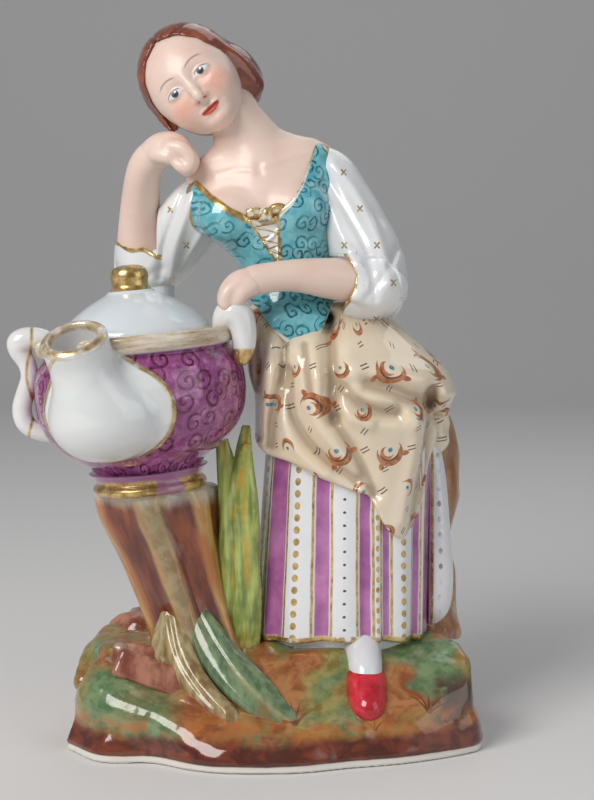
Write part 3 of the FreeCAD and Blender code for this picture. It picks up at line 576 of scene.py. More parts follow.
# %% [markdown]
# The outlines follow the solid model's own sizes.  Corners are run through as short curves, because a glaze
# pools there.

# %% Outlines of the turned pieces
POT_HEIGHT, RIM_HEIGHT, FOOT_HEIGHT, SEAT_Z = 40.5, 4.5, 3.2, 38.6
BELLY_LINE = [(13.4, 3.0), (14.6, 5.6), (18.0, 8.2), (21.8, 10.9), (24.7, 14.2), (26.7, 18.4),
        (27.5, 23.0), (27.4, 27.5), (26.6, 31.4), (25.2, 34.0), (24.3, 35.2)]


def eased(points, steps=5):
    """An outline through the points with every run curved a little."""
    return smooth_path(points, steps)[:, :2]


pot_outline = np.vstack([
    [(0, FOOT_HEIGHT - 0.3), (8, FOOT_HEIGHT - 0.3)],
    eased(BELLY_LINE, 6),
    eased([(24.6, 35.6), (25.9, 36.4), (26.3, 37.6), (26.3, 39.3), (25.7, 40.3), (24.4, 40.5)], 4),
    eased([(22.0, 40.5), (20.9, 40.4), (20.4, 40.0), (20.3, 38.8)], 3), [(20.3, 38.6), (17.9, 38.6)],
    eased([(17.7, 38.4), (17.7, 35.6), (20.5, 33.6), (22.2, 30.6), (22.9, 25.0), (22.3, 19.0),
        (19.4, 12.6), (14.6, 8.4), (10.5, 6.4)], 5),
    [(0, 6.3)],
])
lid_outline = np.vstack([
    [(0, 46.9), (5.2, 46.8)], eased([(9.5, 45.9), (12.6, 43.6), (14.2, 41.2), (14.6, 39.2)], 4),
        [(14.7, 36.0)],
    eased([(14.9, 35.8), (17.0, 35.8)], 2), [(17.1, 36.0), (17.1, 38.6)],
    eased([(19.6, 38.6), (20.0, 39.0), (20.0, 39.8), (19.5, 41.2), (17.9, 43.2), (15.2, 45.5),
        (11.8, 47.8), (8.6, 49.5), (6.8, 50.4), (5.9, 51.2)], 5),
    [(0, 51.4)],
])
knob_outline = np.vstack([
    [(0, 49.8), (6.0, 49.8)], eased([(6.1, 50.6), (5.4, 51.4), (4.8, 52.4), (4.8, 53.6), (5.0, 54.8),
        (4.8, 56.0), (4.2, 56.9), (3.0, 57.5), (1.4, 57.8)], 4),
    [(0, 57.8)],
])
print("points in the outlines:", len(pot_outline), len(lid_outline), len(knob_outline))

# %% [markdown]
# ### Purple ground with wine-red rings
# The painter covered the belly with a blotchy purple, then drew row upon row of rings and hooks.  A Voronoi
# texture gives one centre per ring; its distance makes the ring and the angle round the centre breaks it open.

# %% The painted pot
def scrolls(flat, size, wild, coils):
    """Open rings and hooks, one per cell of about size, and a random number for each cell."""
    distance = flat.node("ShaderNodeTexVoronoi", {"voronoi_dimensions": "2D"},
            {"Vector": flat, "Scale": 1 / size, "Randomness": wild}, out=0)
    node = distance.socket.node
    centre = Ink(flat.tree, node.outputs["Position"])
    tint = Ink(flat.tree, node.outputs["Color"])
    dx, dy, _ = flat.move("SUBTRACT", centre).parts()
    angle = flat.sum("ARCTAN2", dy, dx)
    spin, lot, _ = tint.parts()
    coil = (distance * coils * math.pi / 0.34 + angle + spin * 6.28).sin()
    return coil.rise(0.25, 0.50) * distance.rise(0.54, 0.48), lot


def pot_paint():
    material, shader, place = glaze_tree("pot_glaze")
    turned = value_of(place, "turned", vector=True)
    x, y, h = turned.parts()
    angle = place.sum("ARCTAN2", x, -y)
    flat = place.node("ShaderNodeCombineXYZ", (), {0: angle * 24.0, 1: h, 2: 0.0})
    unsteady = flat.node("ShaderNodeTexNoise", (), {"Vector": flat, "Scale": 0.22}, out=1).move("SUBTRACT",
            (0.5, 0.5, 0.5))
    bent = flat.move("ADD", unsteady.move("MULTIPLY", (1.6, 1.6, 0)))
    lines, _ = scrolls(bent, 5.4, 0.85, 1.9)
    purple = place.node("ShaderNodeValToRGB", (), {0: place.cloud(2.6, 4.0, 0.62, 2.0)})
    ramp = purple.socket.node.color_ramp
    ramp.elements[0].position, ramp.elements[0].color = 0.34, (0.20, 0.035, 0.15, 1)
    ramp.elements[1].position, ramp.elements[1].color = 0.68, (0.58, 0.24, 0.50, 1)
    middle_tone = ramp.elements.new(0.52)
    middle_tone.color = (0.36, 0.09, 0.27, 1)
    wine = colour(place, 0.10, 0.004, 0.025)
    body = wine.over(purple, lines * (0.55 + 0.42 * place.cloud(1.4, 2, 0.6, 3).rise(0.35, 0.6)))
    ground = colour(place, 0.80, 0.78, 0.76)
    painted = h.rise(FOOT_HEIGHT + 0.2, FOOT_HEIGHT + 1.0) * h.rise(POT_HEIGHT - RIM_HEIGHT + 0.3,
            POT_HEIGHT - RIM_HEIGHT - 0.5)
    outside = (x * x + y * y).root()
    body = body.over(ground, painted * outside.rise(10.0, 12.0))
    rim = h.rise(POT_HEIGHT - RIM_HEIGHT + 0.1, POT_HEIGHT - RIM_HEIGHT + 0.8)
    streaks = place.node("ShaderNodeCombineXYZ", (), {0: angle * 5.0, 1: h * 1.2, 2: 0.0}).cloud(2.0, 4.0,
            0.7, 5.0)
    rim_tone = colour(place, 0.50, 0.36, 0.22).over(colour(place, 0.78, 0.70, 0.58),
            streaks.rise(0.35, 0.62))
    body = rim_tone.over(body, rim * h.rise(SEAT_Z - 6, SEAT_Z - 1) * outside.rise(20.0, 20.6))
    gold = rim * outside.rise(20.2, 20.6) * streaks.rise(0.52, 0.66) * 0.75
    return fire(material, shader, place, body, gold, 0.48)


pot_glaze = pot_paint()
dress(turned_piece("pot_bowl", pot_outline, pot_glaze, 200), pot_glaze, "figurine", "pot_glaze", "pot_body")


def knob_gold(place):
    turned = value_of(place, "turned", vector=True)
    _, _, h = turned.parts()
    return h.rise(49.6, 51.2)


lid_glaze = white_ware("lid_glaze", (0.76, 0.81, 0.85))
dress(turned_piece("lid_dome", lid_outline, lid_glaze, 168), lid_glaze, "lid", "lid_glaze", "lid")
gilt = white_ware("gilt", (0.70, 0.66, 0.58), knob_gold)
dress(turned_piece("lid_knob_gilt", knob_outline, gilt, 96), gilt, "lid", "gilt", "lid_knob")
print("turned pieces done")

# %% [markdown]
# ## The trunk under the clothes
# Neck, chest and bodice were one press mould, and only the paint tells them apart.  So the trunk is written
# once: a stack of ovals, each with its own centre and widths, leaning over to the girl's right as it rises.
# The bust is this trunk above the neckline; the bodice is the same trunk, a little thicker, below it.

# %% Trunk and neck
def stack(p, stations, shear=0.0, shear_from=(0, 1)):
    """Ovals piled up in z.  Stations are (z, centre x, centre y, half width, half depth)."""
    x, y, z = p
    table = smooth_path(stations, 8)
    if shear:
        z = z - shear * (x - np.interp(z, table[:, 0], table[:, 1])) * step_up(z, *shear_from)
    cx, cy, a, b = (np.interp(z, table[:, 0], table[:, i]).astype(np.float32) for i in (1, 2, 3, 4))
    u, v = (x - cx), (y - cy)
    size = np.sqrt((u / a) ** 2 + (v / b) ** 2) + 1e-5
    slope = np.sqrt((u / a ** 2) ** 2 + (v / b ** 2) ** 2) + 1e-5
    side = size * (size - 1) / slope
    low, high = table[0, 0], table[-1, 0]
    return overlap(side, np.maximum(low - z, z - high), 3.0)


def trunk(p):
    """Chest, waist and shoulders."""
    body = stack(p, [(97, 6.2, -4.6, 3.4, 8.6), (102, 6.0, -4.6, 6.2, 10.4), (107, 5.4, -3.0, 9.2, 10.8),
            (111, 4.6, -0.4, 10.6, 10.4), (115, 3.6, 2.6, 10.9, 9.6),
                     (121, 2.2, 4.6, 10.8, 8.8), (125, 1.2, 5.0, 11.8, 9.2), (129, 0.0, 5.2, 13.6, 10.0),
                     (133, -1.6, 5.4, 15.8, 10.6), (137, -4.0, 5.7, 18.2, 10.9),
                     (142, -5.1, 6.2, 19.4, 10.4), (147, -5.2, 6.7, 19.4, 8.8),
                     (151, -4.9, 7.0, 17.8, 7.2), (154.5, -5.0, 7.2, 14.6, 6.0)],
                 0.19, (120, 140))
    for x, z in ((-13.0, 137.0), (4.6, 139.2)):
        body = blend(body, egg(p, (x, -1.6, z), (7.4, 5.0, 6.2)), 2.4)
    return body


def neck(p):
    """Neck and the slope of the shoulders."""
    column = limb(p, [(-5.0, 7.6, 149, 8.5), (-7.4, 7.6, 155, 7.4), (-10.4, 7.2, 160, 6.7),
            (-14.0, 6.8, 165, 6.6), (-18, 6.4, 169.5, 6.8)], 3)
    slope = limb(p, [(-8.5, 8.0, 159, 5.0), (-1.5, 8.2, 156.2, 4.6), (6.5, 8.0, 153.8, 4.2),
            (11.5, 7.6, 152.0, 4.0)], 3)
    other = limb(p, [(-12.0, 8.0, 156, 4.6), (-17.5, 8.2, 150.5, 4.2), (-21.5, 8.0, 147.4, 3.8)], 3)
    nape = limb(p, [(-10.6, 7.6, 168, 3.4), (-8.8, 7.6, 164, 4.0), (-5.4, 7.8, 159.5, 4.2)], 3)
    return blend(blend(blend(column, slope, 3.0), other, 3.0), nape, 2.0)


NECKLINE = np.array([(-28, 153), (-24.4, 149.0), (-18.0, 143.2), (-13.0, 139.6), (-8.6, 137.4),
        (-4.2, 137.0), (-0.4, 138.2), (3.4, 141.8),
                     (6.0, 146.4), (8.0, 152.0), (10.0, 158.5), (16, 164)])


def neckline_height(x, y):
    """Height of the bodice's upper edge; it is higher and straighter at the back."""
    front = np.interp(x, NECKLINE[:, 0], NECKLINE[:, 1])
    back = 149.5 + 0.19 * (x + 5)
    share = step_up(y, 3.0, 12.0)
    return front * (1 - share) + back * share


def bust_shape(p):
    x, y, z = p
    skin = blend(trunk(p), neck(p), 3.5)
    bones = stroke(x, z, [(-17, 148.2), (-11, 149.4), (-7, 149.2)], 0.9, 0.28) + stroke(x, z,
            [(-4, 150.4), (2, 152.6), (8, 154.2)], 0.9, 0.28)
    skin = skin - bones * step_up(-y, -6, 0) + stroke(x, z, [(-5.4, 150.2), (-5.0, 148.6)], 1.2,
            0.35) * step_up(-y, -6, 0)
    return overlap(skin, neckline_height(x, y) - 2.5 - z, 0.8)


def bodice_shape(p):
    x, y, z = p
    cloth = trunk(p) - 0.9
    cloth = overlap(cloth, z - neckline_height(x, y), 0.7)
    front = step_up(-y, -4.0, 1.0)
    hem = np.interp(x, [-12, -6.4, -1.6, 4.6, 6.4, 10.8, 13.6, 17],
            [117, 113.5, 107.6, 101.8, 102.2, 107.2, 113.5, 116])
    cloth = overlap(cloth, hem * front + 116 * (1 - front) - z, 0.9)
    seams = stroke(x, z, [(-8.6, 137), (-5.2, 130.6), (-0.4, 124.4)], 0.45, -0.22) + stroke(x, z,
            [(-0.5, 137.4), (0.1, 131), (0.6, 124.4)], 0.45, -0.22)
    inset = step_up(x, -8.6 + (137 - z) * 0.66, -7.6 + (137 - z) * 0.66) * step_up(-x, 0.3,
            1.1) * step_up(z, 124, 127)
    lacing = 0.0
    for line in ([(-7.6, 135.8), (-0.4, 133.0)], [(-0.3, 133.2), (-3.9, 129.9)],
            [(-3.9, 130.0), (0.1, 127.8)], [(-2.0, 127.6), (0.2, 126.0)]):
        lacing = lacing + stroke(x, z, line, 0.42, 0.42, 1)
    return cloth - (seams - inset * 0.45 + lacing) * front


def figure_paint(p):
    x, y, z = p
    return {"from_neckline": neckline_height(x, y) - z}


bust = sculpt("bust_skin", bust_shape, (-26, -8, 134), (17, 17, 172), 0.42, figure_paint)
bodice = sculpt("bodice_laced", bodice_shape, (-27, -9, 100), (18, 19, 161), 0.40, figure_paint)
print("neckline runs from", NECKLINE[0], "to", NECKLINE[-1])

# %% [markdown]
# ## Head and hair
# The head leans on the fist, so it is drawn upright in its own axes and turned as a whole.  It is a plain
# pressed head of regular proportions: the eyes halfway down, the nose a quarter lower, the mouth a third of
# the way from nose to chin.  Like all such heads the features are shallow, and the brush does the rest.

# %% The head in its own axes
TILT = math.radians(42)
HEAD = middle("head") + np.array([0.4, 0, 0.1])
HEAD_SIZE = 1.09
TURN = math.radians(-7)
ACROSS = np.array([math.cos(TILT) * math.cos(TURN), math.sin(TURN), math.sin(TILT) * math.cos(TURN)])
UP = np.array([-math.sin(TILT), 0.0, math.cos(TILT)])
BACK = np.cross(UP, ACROSS)
HEAD_AXES = np.array([ACROSS, BACK, UP])


def in_head(p):
    """A place in the head's own axes: across, back and up."""
    x, y, z = p[0] - HEAD[0], p[1] - HEAD[1], p[2] - HEAD[2]
    return tuple((x * row[0] + y * row[1] + z * row[2]) / HEAD_SIZE for row in HEAD_AXES.astype(np.float32))


def pair(q, x, y, z, radii):
    """Two eggs, mirrored left and right."""
    return egg((np.abs(q[0]), q[1], q[2]), (x, y, z), radii)


def head_shape(p):
    q = in_head(p)
    a, b, c = q
    skull = egg(q, (0, 1.4, 2.4), (11.2, 12.0, 11.4))
    face = egg(q, (0, -2.6, -3.2), (9.6, 9.0, 10.4))
    head = blend(skull, face, 3.5)
    head = blend(head, egg(q, (0, -7.2, -10.9), (3.4, 3.6, 2.9)), 3.0)
    head = blend(head, pair(q, 4.7, -6.6, -4.6, (3.6, 3.6, 3.8)), 2.5)
    head = carve(head, pair(q, 4.2, -12.6, -0.2, (3.1, 2.4, 1.9)), 2.4)
    head = blend(head, pair(q, 4.1, -8.7, -0.5, (2.5, 2.3, 1.7)), 0.7)
    nose = limb(q, [(0, -10.0, 1.2, 0.9), (0, -11.4, -1.6, 0.95), (0, -12.9, -4.2, 1.15),
            (0, -12.5, -5.2, 1.0)], 3, 0.5)
    head = blend(head, nose, 1.3)
    head = blend(head, pair(q, 1.25, -11.2, -5.0, (0.85, 1.1, 0.75)), 0.8)
    lips = blend(pair(q, 1.05, -10.55, -8.0, (1.5, 0.75, 0.55)),
            egg(q, (0, -10.45, -9.0), (1.7, 0.85, 0.62)), 0.25)
    head = blend(head, lips, 0.7)
    head = head + 0.30 * np.exp(-((c + 8.45) ** 2 / 0.10 + a ** 2 / 5.0)) * step_up(-b, 4, 8)
    head = head + 0.35 * np.exp(-((c + 10.2) ** 2 / 0.7 + a ** 2 / 5.5)) * step_up(-b, 4, 8)
    lids = stroke(np.abs(a), c, [(1.9, -0.9), (3.0, 0.55), (4.4, 0.85), (6.2, -0.3)], 0.32, 0.20, 4)
    ears = pair(q, 10.2, 2.2, -2.4, (1.3, 2.2, 3.2))
    return blend(head - lids * step_up(-b, 3, 6), ears, 0.7) * HEAD_SIZE


HAIRLINE = [(-20, -12), (-12.0, -12), (-11.4, -4.0), (-10.4, 2.6), (-8.4, 7.4), (-5.0, 10.6), (-1.2, 12.2),
        (1.2, 12.3), (5.0, 10.4), (8.2, 6.6), (10.2, 1.0), (11.0, -6.0), (11.6, -12), (20, -12)]


def hair_shape(p):
    q = in_head(p)
    a, b, c = q
    cap = blend(egg(q, (0, 2.2, 2.8), (12.2, 12.9, 12.5)), egg(q, (0.5, 6.0, -3.5), (11.0, 9.0, 10.5)), 2.5)
    cap = blend(cap, egg(q, (7.2, 7.4, -4.6), (7.0, 7.0, 8.6)), 4.0)
    lock = limb(q, [(-10.6, 0.4, 5.0, 1.2), (-11.3, -0.2, -1.0, 1.2), (-10.6, -1.6, -6.4, 1.3),
            (-8.6, -3.4, -10.4, 1.2), (-6.6, -4.8, -12.6, 0.9)], 3)
    cap = blend(cap, lock, 1.0)
    side = limb(q, [(9.2, -1.6, 5.0, 1.4), (10.6, -0.6, 0.0, 1.7), (10.8, 1.6, -5.0, 2.3),
            (10.0, 4.0, -10.0, 2.6)], 3)
    cap = blend(cap, side, 1.6)
    edge = np.interp(a, [h[0] for h in HAIRLINE], [h[1] for h in HAIRLINE])
    back = np.where(a < 0, -0.4, -2.6 * step_up(a, 2, 8) - 0.4)
    opening = np.maximum((c - edge) * 0.8, b - back)
    cap = carve(cap, opening, 0.8)
    part = 0.35 * np.exp(-(a / 0.5) ** 2) * step_up(c, 6, 9) * step_up(-b, -8, 2)
    fall = np.arctan2(c - 11.0, np.abs(a) + 0.6)
    strands = 0.035 * np.sin(fall * 26 + 1.2 * np.sin(b * 0.7)) * step_up(np.abs(a), 0.8, 2.5)
    return (cap + part + strands) * HEAD_SIZE


def head_paint(p):
    q = in_head(p)
    return {"face": np.stack(q, 1)}


head = sculpt("head_face", head_shape, HEAD - (19, 19, 20), HEAD + (19, 17, 19), 0.29, head_paint)
hair = sculpt("hair_bands", hair_shape, HEAD - (21, 16, 21), HEAD + (24, 23, 20), 0.36, head_paint)
print("head stands at", HEAD.round(1))

# %% [markdown]
# ### Skin, hair and face paint
# Skin is a warm cream with a blush stippled on in orange-pink.  The face is drawn in the head's own
# coordinates, stored on its points: brows, lid lines, irises with a painted white highlight, nostril dots and lips.

# %% Skin and hair glazes
def skin_paint(name, with_face=False):
    material, shader, place = glaze_tree(name)
    pale_skin = colour(place, 0.85, 0.66, 0.57)
    warm = colour(place, 0.82, 0.46, 0.36).over(pale_skin,
            place.cloud(8.0, 3, 0.55, 2).rise(0.50, 0.82) * 0.38)
    body = colour(place, 0.60, 0.44, 0.36).over(warm, place.cloud(14.0, 2, 0.5, 5).rise(0.58, 0.88) * 0.25)
    if with_face:
        a, b, c = value_of(place, "face", vector=True).parts()
        side = a.size()
        front = b.rise(-4.5, -6.5)
        stipple = 0.65 + 0.35 * place.cloud(0.7, 2, 0.6, 4).rise(0.35, 0.65)

        def spot(x, z, across, up, soft=0.35, of=None):
            """An oval patch on the front of the face."""
            u, v = ((side if of is None else of) - x) / across, (c - z) / up
            return (u * u + v * v).root().rise(1 + soft, 1 - soft) * front

        body = colour(place, 0.84, 0.26, 0.14).over(body, spot(5.4, -4.4, 3.1, 2.6, 0.85) * 0.55 * stipple)
        body = colour(place, 0.84, 0.36, 0.22).over(body, spot(0, -11.8, 2.6, 1.8, 0.9, a) * 0.22)
        white = spot(4.2, -0.35, 1.95, 0.78, 0.14)
        body = colour(place, 0.84, 0.84, 0.86).over(body, white * 0.9)
        body = colour(place, 0.045, 0.06, 0.085).over(body,
                spot(4.1, -0.2, 0.92, 0.92, 0.12) * (white + 0.25).low(1.0))
        body = colour(place, 0.006, 0.006, 0.008).over(body, spot(4.1, -0.2, 0.42, 0.42, 0.2))
        # painted highlight: a white glint dot in each iris
        body = colour(place, 0.9, 0.92, 0.95).over(body,
                spot(4.45, 0.18, 0.26, 0.26, 0.3, a) + spot(-3.75, 0.18, 0.26, 0.26, 0.3, a))
        from_lid = side - 4.2
        lid = 0.62 - 0.17 * from_lid * from_lid
        brown = colour(place, 0.07, 0.028, 0.014)
        body = brown.over(body, (c - lid).band(0.0, 0.13, 0.14) * side.band(4.25, 2.0, 0.5) * front * 0.95)
        body = brown.over(body, (c - lid * 0.6 - 1.05).band(0.0, 0.05, 0.14) * side.band(4.3, 1.7, 0.6)
                * front * 0.35)
        body = brown.over(body, (c + 1.12 - 0.12 * from_lid * from_lid).band(0.0, 0.05, 0.15)
                * side.band(4.4, 1.4, 0.5) * front * 0.35)
        brow = 3.35 - 0.105 * (side - 4.3) * (side - 4.3)
        body = brown.over(body, (c - brow).band(0.0, 0.16, 0.24) * side.band(4.1, 2.3, 0.8) * front * 0.72)
        red = colour(place, 0.62, 0.045, 0.018)
        body = red.over(body, spot(1.0, -5.75, 0.42, 0.26, 0.4) * 0.85)
        upper = -7.62 - 0.16 * side + (side - 0.8).rise(0.8, 0.0) * -0.14
        mouth = (c - upper).rise(0.14, -0.10) * (c + 9.45 - side * 0.36 * side * 0.36).rise(-0.16,
                0.10) * side.rise(2.75, 2.2) * front
        body = red.over(body, mouth * 0.92)
        body = colour(place, 0.22, 0.012, 0.008).over(body,
                (c + 8.42 - side * 0.07).band(0.0, 0.09, 0.13) * side.rise(2.7, 2.3) * front * 0.85)
    return fire(material, shader, place, body, ripple_size=9.0, bump=0.006, speck=0.15, glow=0.22,
            shine=0.16, base_rough=0.30)


def hair_paint():
    material, shader, place = glaze_tree("hair_glaze")
    a, b, c = value_of(place, "face", vector=True).parts()
    fall = place.sum("ARCTAN2", c - 11.0, a.size() + 0.6)
    strand = place.node("ShaderNodeCombineXYZ", (), {0: fall * 7.0, 1: b * 0.22, 2: a * 0.1}).cloud(1.6,
            3.0, 0.55, 2.0)
    dark = colour(place, 0.14, 0.022, 0.010)
    light = colour(place, 0.40, 0.11, 0.045)
    body = light.over(dark, strand.rise(0.30, 0.74) * 0.75)
    body = colour(place, 0.55, 0.20, 0.05).over(body, place.cloud(7.0, 2, 0.5, 7).rise(0.55, 0.80) * 0.35)
    body = colour(place, 0.05, 0.010, 0.006).over(body, a.band(0.0, 0.16, 0.28) * c.rise(5.0, 8.0) * 0.8)
    return fire(material, shader, place, body, ripple_size=5.0, bump=0.010, speck=0.1)


skin_glaze = skin_paint("skin_glaze")
face_glaze = skin_paint("face_glaze", with_face=True)
hair_glaze = hair_paint()
dress(bust, skin_glaze, "figurine", "skin_glaze", "bust")
dress(head, face_glaze, "figurine", "skin_glaze", "head")
dress(hair, hair_glaze, "figurine", "hair_glaze", "hair")

# %% [markdown]
# ## Arms, sleeves and hands
# Each arm is one smooth limb; a hand is a flattened hook with grooves between the fingers, just as a mould
# leaves it.  `beside` measures how far along a limb a place lies, and its angle round it, which is what the
# folds of a sleeve and its painted hem need.

# %% Along a limb
def beside(p, points):
    """How far along a path the nearest place is, in mm from its start, and the angle round the path."""
    path = smooth_path(points, 4)[:, :3]
    x, y, z = (np.asarray(v, np.float32) for v in p)
    best = along = angle = None
    start = 0.0
    for a, b in zip(path, path[1:]):
        way = b - a
        length = np.linalg.norm(way)
        way = way / length
        side = np.cross(way, (0, 1, 0))
        side = side / np.linalg.norm(side)
        third = np.cross(way, side)
        dx, dy, dz = x - a[0], y - a[1], z - a[2]
        t = np.clip(dx * way[0] + dy * way[1] + dz * way[2], 0, length)
        u = dx * side[0] + dy * side[1] + dz * side[2]
        v = dx * third[0] + dy * third[1] + dz * third[2]
        d = np.sqrt((dx - t * way[0]) ** 2 + (dy - t * way[1]) ** 2 + (dz - t * way[2]) ** 2)
        if best is None:
            best, along, angle = d, start + t, np.arctan2(v, u)
        else:
            closer = d < best
            best, along, angle = np.where(closer, d, best), np.where(closer, start + t,
                    along), np.where(closer, np.arctan2(v, u), angle)
        start += length
    return along, angle


RIGHT_ARM = [(-39.4, 19.6, 126.0, 5.6), (-39.0, 17.8, 134.0, 5.3), (-37.9, 13.2, 143.0, 4.8),
        (-36.4, 8.0, 149.9, 4.2), (-33.6, 5.4, 153.8, 3.9)]


def forearm_right_shape(p):
    return limb(p, RIGHT_ARM, 4, 1.2)


def hand_right_shape(p):
    hand = limb(p, [(-34.2, 6.0, 152.8, 3.8), (-31.8, 4.6, 154.9, 3.8), (-29.0, 3.6, 155.4, 3.7),
            (-26.8, 3.2, 154.9, 3.3)], 4, 1.2)
    hand = blend(hand, egg(p, (-29.6, 4.4, 154.9), (4.6, 5.4, 3.4)), 1.6)
    for number, (depth, size) in enumerate([(-1.6, 1.65), (1.8, 1.8), (5.2, 1.8), (8.0, 1.6)]):
        back = 0.5 * number
        finger = limb(p, [(-29.0 + back, depth * 0.8 + 0.8, 155.4, size), (-25.6, depth, 154.8, size),
                (-23.4, depth, 152.2, size),
                          (-24.2, depth, 149.8, size * 0.9), (-26.6, depth, 150.6, size * 0.8)], 4, 0.8)
        hand = blend(hand, finger, 1.1)
    thumb = limb(p, [(-32.5, 1.0, 153.4, 1.8), (-29.2, -0.9, 152.6, 1.5), (-26.8, -0.6, 151.8, 1.2)], 4,
            0.8)
    return blend(hand, thumb, 1.4)


RIGHT_SLEEVE = [(-14.5, 9.0, 143.5, 5.5), (-20.3, 10.4, 140.4, 7.4), (-25.9, 14.0, 134.8, 8.0),
        (-31.2, 17.8, 128.8, 8.3), (-35.6, 19.6, 124.6, 8.0), (-37.6, 20.0, 123.8, 7.0)]


def sleeve_right_shape(p):
    x, _, z = p
    bag = limb(p, RIGHT_SLEEVE, 4, 2.5)
    cuff = limb(p, [(-37.6, 20.0, 123.6, 6.5), (-38.4, 19.0, 129.6, 6.3), (-38.6, 18.4, 132.4, 6.2)], 3,
            1.5)
    bag = blend(bag, cuff, 3.0)
    along, angle = beside(p, RIGHT_SLEEVE)
    folds = 0.55 * np.sin(angle * 3 + along * 0.10 + 1.0) * step_up(along, 8, 20) * step_up(-along, -48,
            -34)
    folds = folds + stroke(x, z, [(-22.0, 146), (-25.0, 138), (-28.0, 129), (-29.5, 121)], 1.4,
            1.0) + stroke(x, z, [(-18, 137.5), (-22.5, 130), (-27, 122.5)], 1.1, 0.7)
    folds = folds - stroke(x, z, [(-25, 145), (-28.4, 137), (-31.6, 128.4), (-33.0, 121)], 1.1,
            0.9) - stroke(x, z, [(-44, 123.5), (-38, 121.0), (-32, 123.5)], 1.2, 0.45)
    bag = bag - folds
    mouth = z + 0.24 * (x + 39) - 129.0 - 0.5 * np.sin((x + 39) * 0.8)
    bag = carve(bag, np.maximum(-mouth * 0.95, x + 33.4), 0.8)
    return carve(bag, limb(p, [(-39.2, 18.8, 128.5, 5.6), (-38.8, 17.6, 137.0, 6.0)], 1), 0.4)


LEFT_ARM = [(25.0, -4.0, 120.0, 5.4), (20.0, -7.0, 120.2, 5.3), (12.0, -10.2, 121.2, 4.8),
        (4.0, -13.0, 121.9, 3.8), (-3.0, -14.8, 121.3, 3.4), (-7.5, -15.6, 120.4, 3.5)]


def forearm_left_shape(p):
    return limb(p, LEFT_ARM, 4, 1.2)


def hand_left_shape(p):
    hand = limb(p, [(-6.4, -15.4, 120.4, 3.4), (-9.8, -16.0, 119.4, 3.4), (-12.0, -16.4, 117.4, 2.9),
            (-13.0, -16.4, 114.8, 2.2)], 4, 1.2)
    for depth, size, drop in ((-18.9, 1.4, 0.8), (-16.9, 1.5, 0.2), (-14.7, 1.5, 0.0), (-12.6, 1.35, 0.6)):
        finger = limb(p, [(-9.6, depth * 0.7 - 4.6, 119.8, size), (-12.7, depth, 118.2, size),
                (-13.8, depth, 115.6, size), (-13.3, depth, 113.4 + drop, size * 0.85)], 4, 0.7)
        hand = blend(hand, finger, 1.1)
    thumb = limb(p, [(-7.0, -18.0, 119.2, 1.6), (-9.4, -19.0, 117.2, 1.4), (-10.6, -18.6, 115.0, 1.2)], 4,
            0.7)
    return blend(hand, thumb, 1.3)


LEFT_SLEEVE = [(11.4, 8.0, 151.6, 3.2), (14.0, 7.8, 148.0, 5.6), (16.8, 6.8, 141.0, 6.8),
        (19.6, 4.6, 133.5, 7.8), (22.8, 1.0, 126.0, 8.7), (24.4, -2.4, 119.0, 8.2),
        (22.8, -5.0, 117.8, 7.0)]


def left_cuff(x, y, z):
    """Less than nothing in front of the left cuff's edge, which bows outward round the arm."""
    return (x - 0.30 * (y + 7)) - (20.8 - 0.075 * (z - 120.5) ** 2)


def sleeve_left_shape(p):
    x, y, z = p
    bag = limb(p, LEFT_SLEEVE, 4, 2.5)
    cuff = limb(p, [(24.5, -4.2, 119.6, 7.4), (18.6, -7.4, 120.4, 7.0)], 3, 1.5)
    bag = blend(bag, cuff, 3.0)
    along, angle = beside(p, LEFT_SLEEVE)
    folds = 0.6 * np.sin(angle * 3 + along * 0.08 + 0.6) * step_up(along, 6, 18)
    folds = folds + stroke(x, z, [(14, 151), (20.5, 143), (26.0, 131), (28.0, 120)], 1.4, 0.8) + stroke(x,
            z, [(12.6, 141), (16.0, 132), (20.5, 125.0)], 1.2, 0.7)
    folds = folds - stroke(x, z, [(12.0, 148), (17.6, 138), (22.6, 128), (24.6, 116)], 1.1,
            0.8) - stroke(x, z, [(31, 129), (27.0, 122), (22.6, 116.4)], 1.2, 0.7)
    bag = bag - folds
    mouth = left_cuff(x, y, z)
    bag = carve(bag, np.maximum(mouth, z - 126.4) * 0.95, 0.8)
    return carve(bag, limb(p, [(22.5, -6.0, 120.2, 5.6), (13.0, -10.0, 121.2, 5.9)], 1), 0.4)


def sleeve_right_paint(p):
    x, _, z = p
    mouth = 129.0 - 0.24 * (x + 39) + 0.5 * np.sin((x + 39) * 0.8) - z
    return {"hem": np.where(x < -31.8, mouth, 9.0)}


def sleeve_left_paint(p):
    x, y, z = p
    mouth = left_cuff(x, y, z)
    return {"hem": np.where(z < 127.6, mouth, 9.0)}


sleeve_right = sculpt("sleeve_right_white", sleeve_right_shape, (-49, -1, 112), (-6, 32, 158), 0.42,
        sleeve_right_paint)
sleeve_left = sculpt("sleeve_left_white", sleeve_left_shape, (3, -17, 107), (37, 18, 159), 0.42,
        sleeve_left_paint)
forearm_right = sculpt("forearm_right_skin", forearm_right_shape, (-46, -1, 118), (-29, 28, 160), 0.42)
forearm_left = sculpt("forearm_left_skin", forearm_left_shape, (-14, -21, 113), (32, 3, 130), 0.42)
hand_right = sculpt("hand_right_skin", hand_right_shape, (-42, -5, 146), (-19, 12, 162), 0.28)
hand_left = sculpt("hand_left_skin", hand_left_shape, (-19, -23, 109), (-2, -8, 127), 0.28)

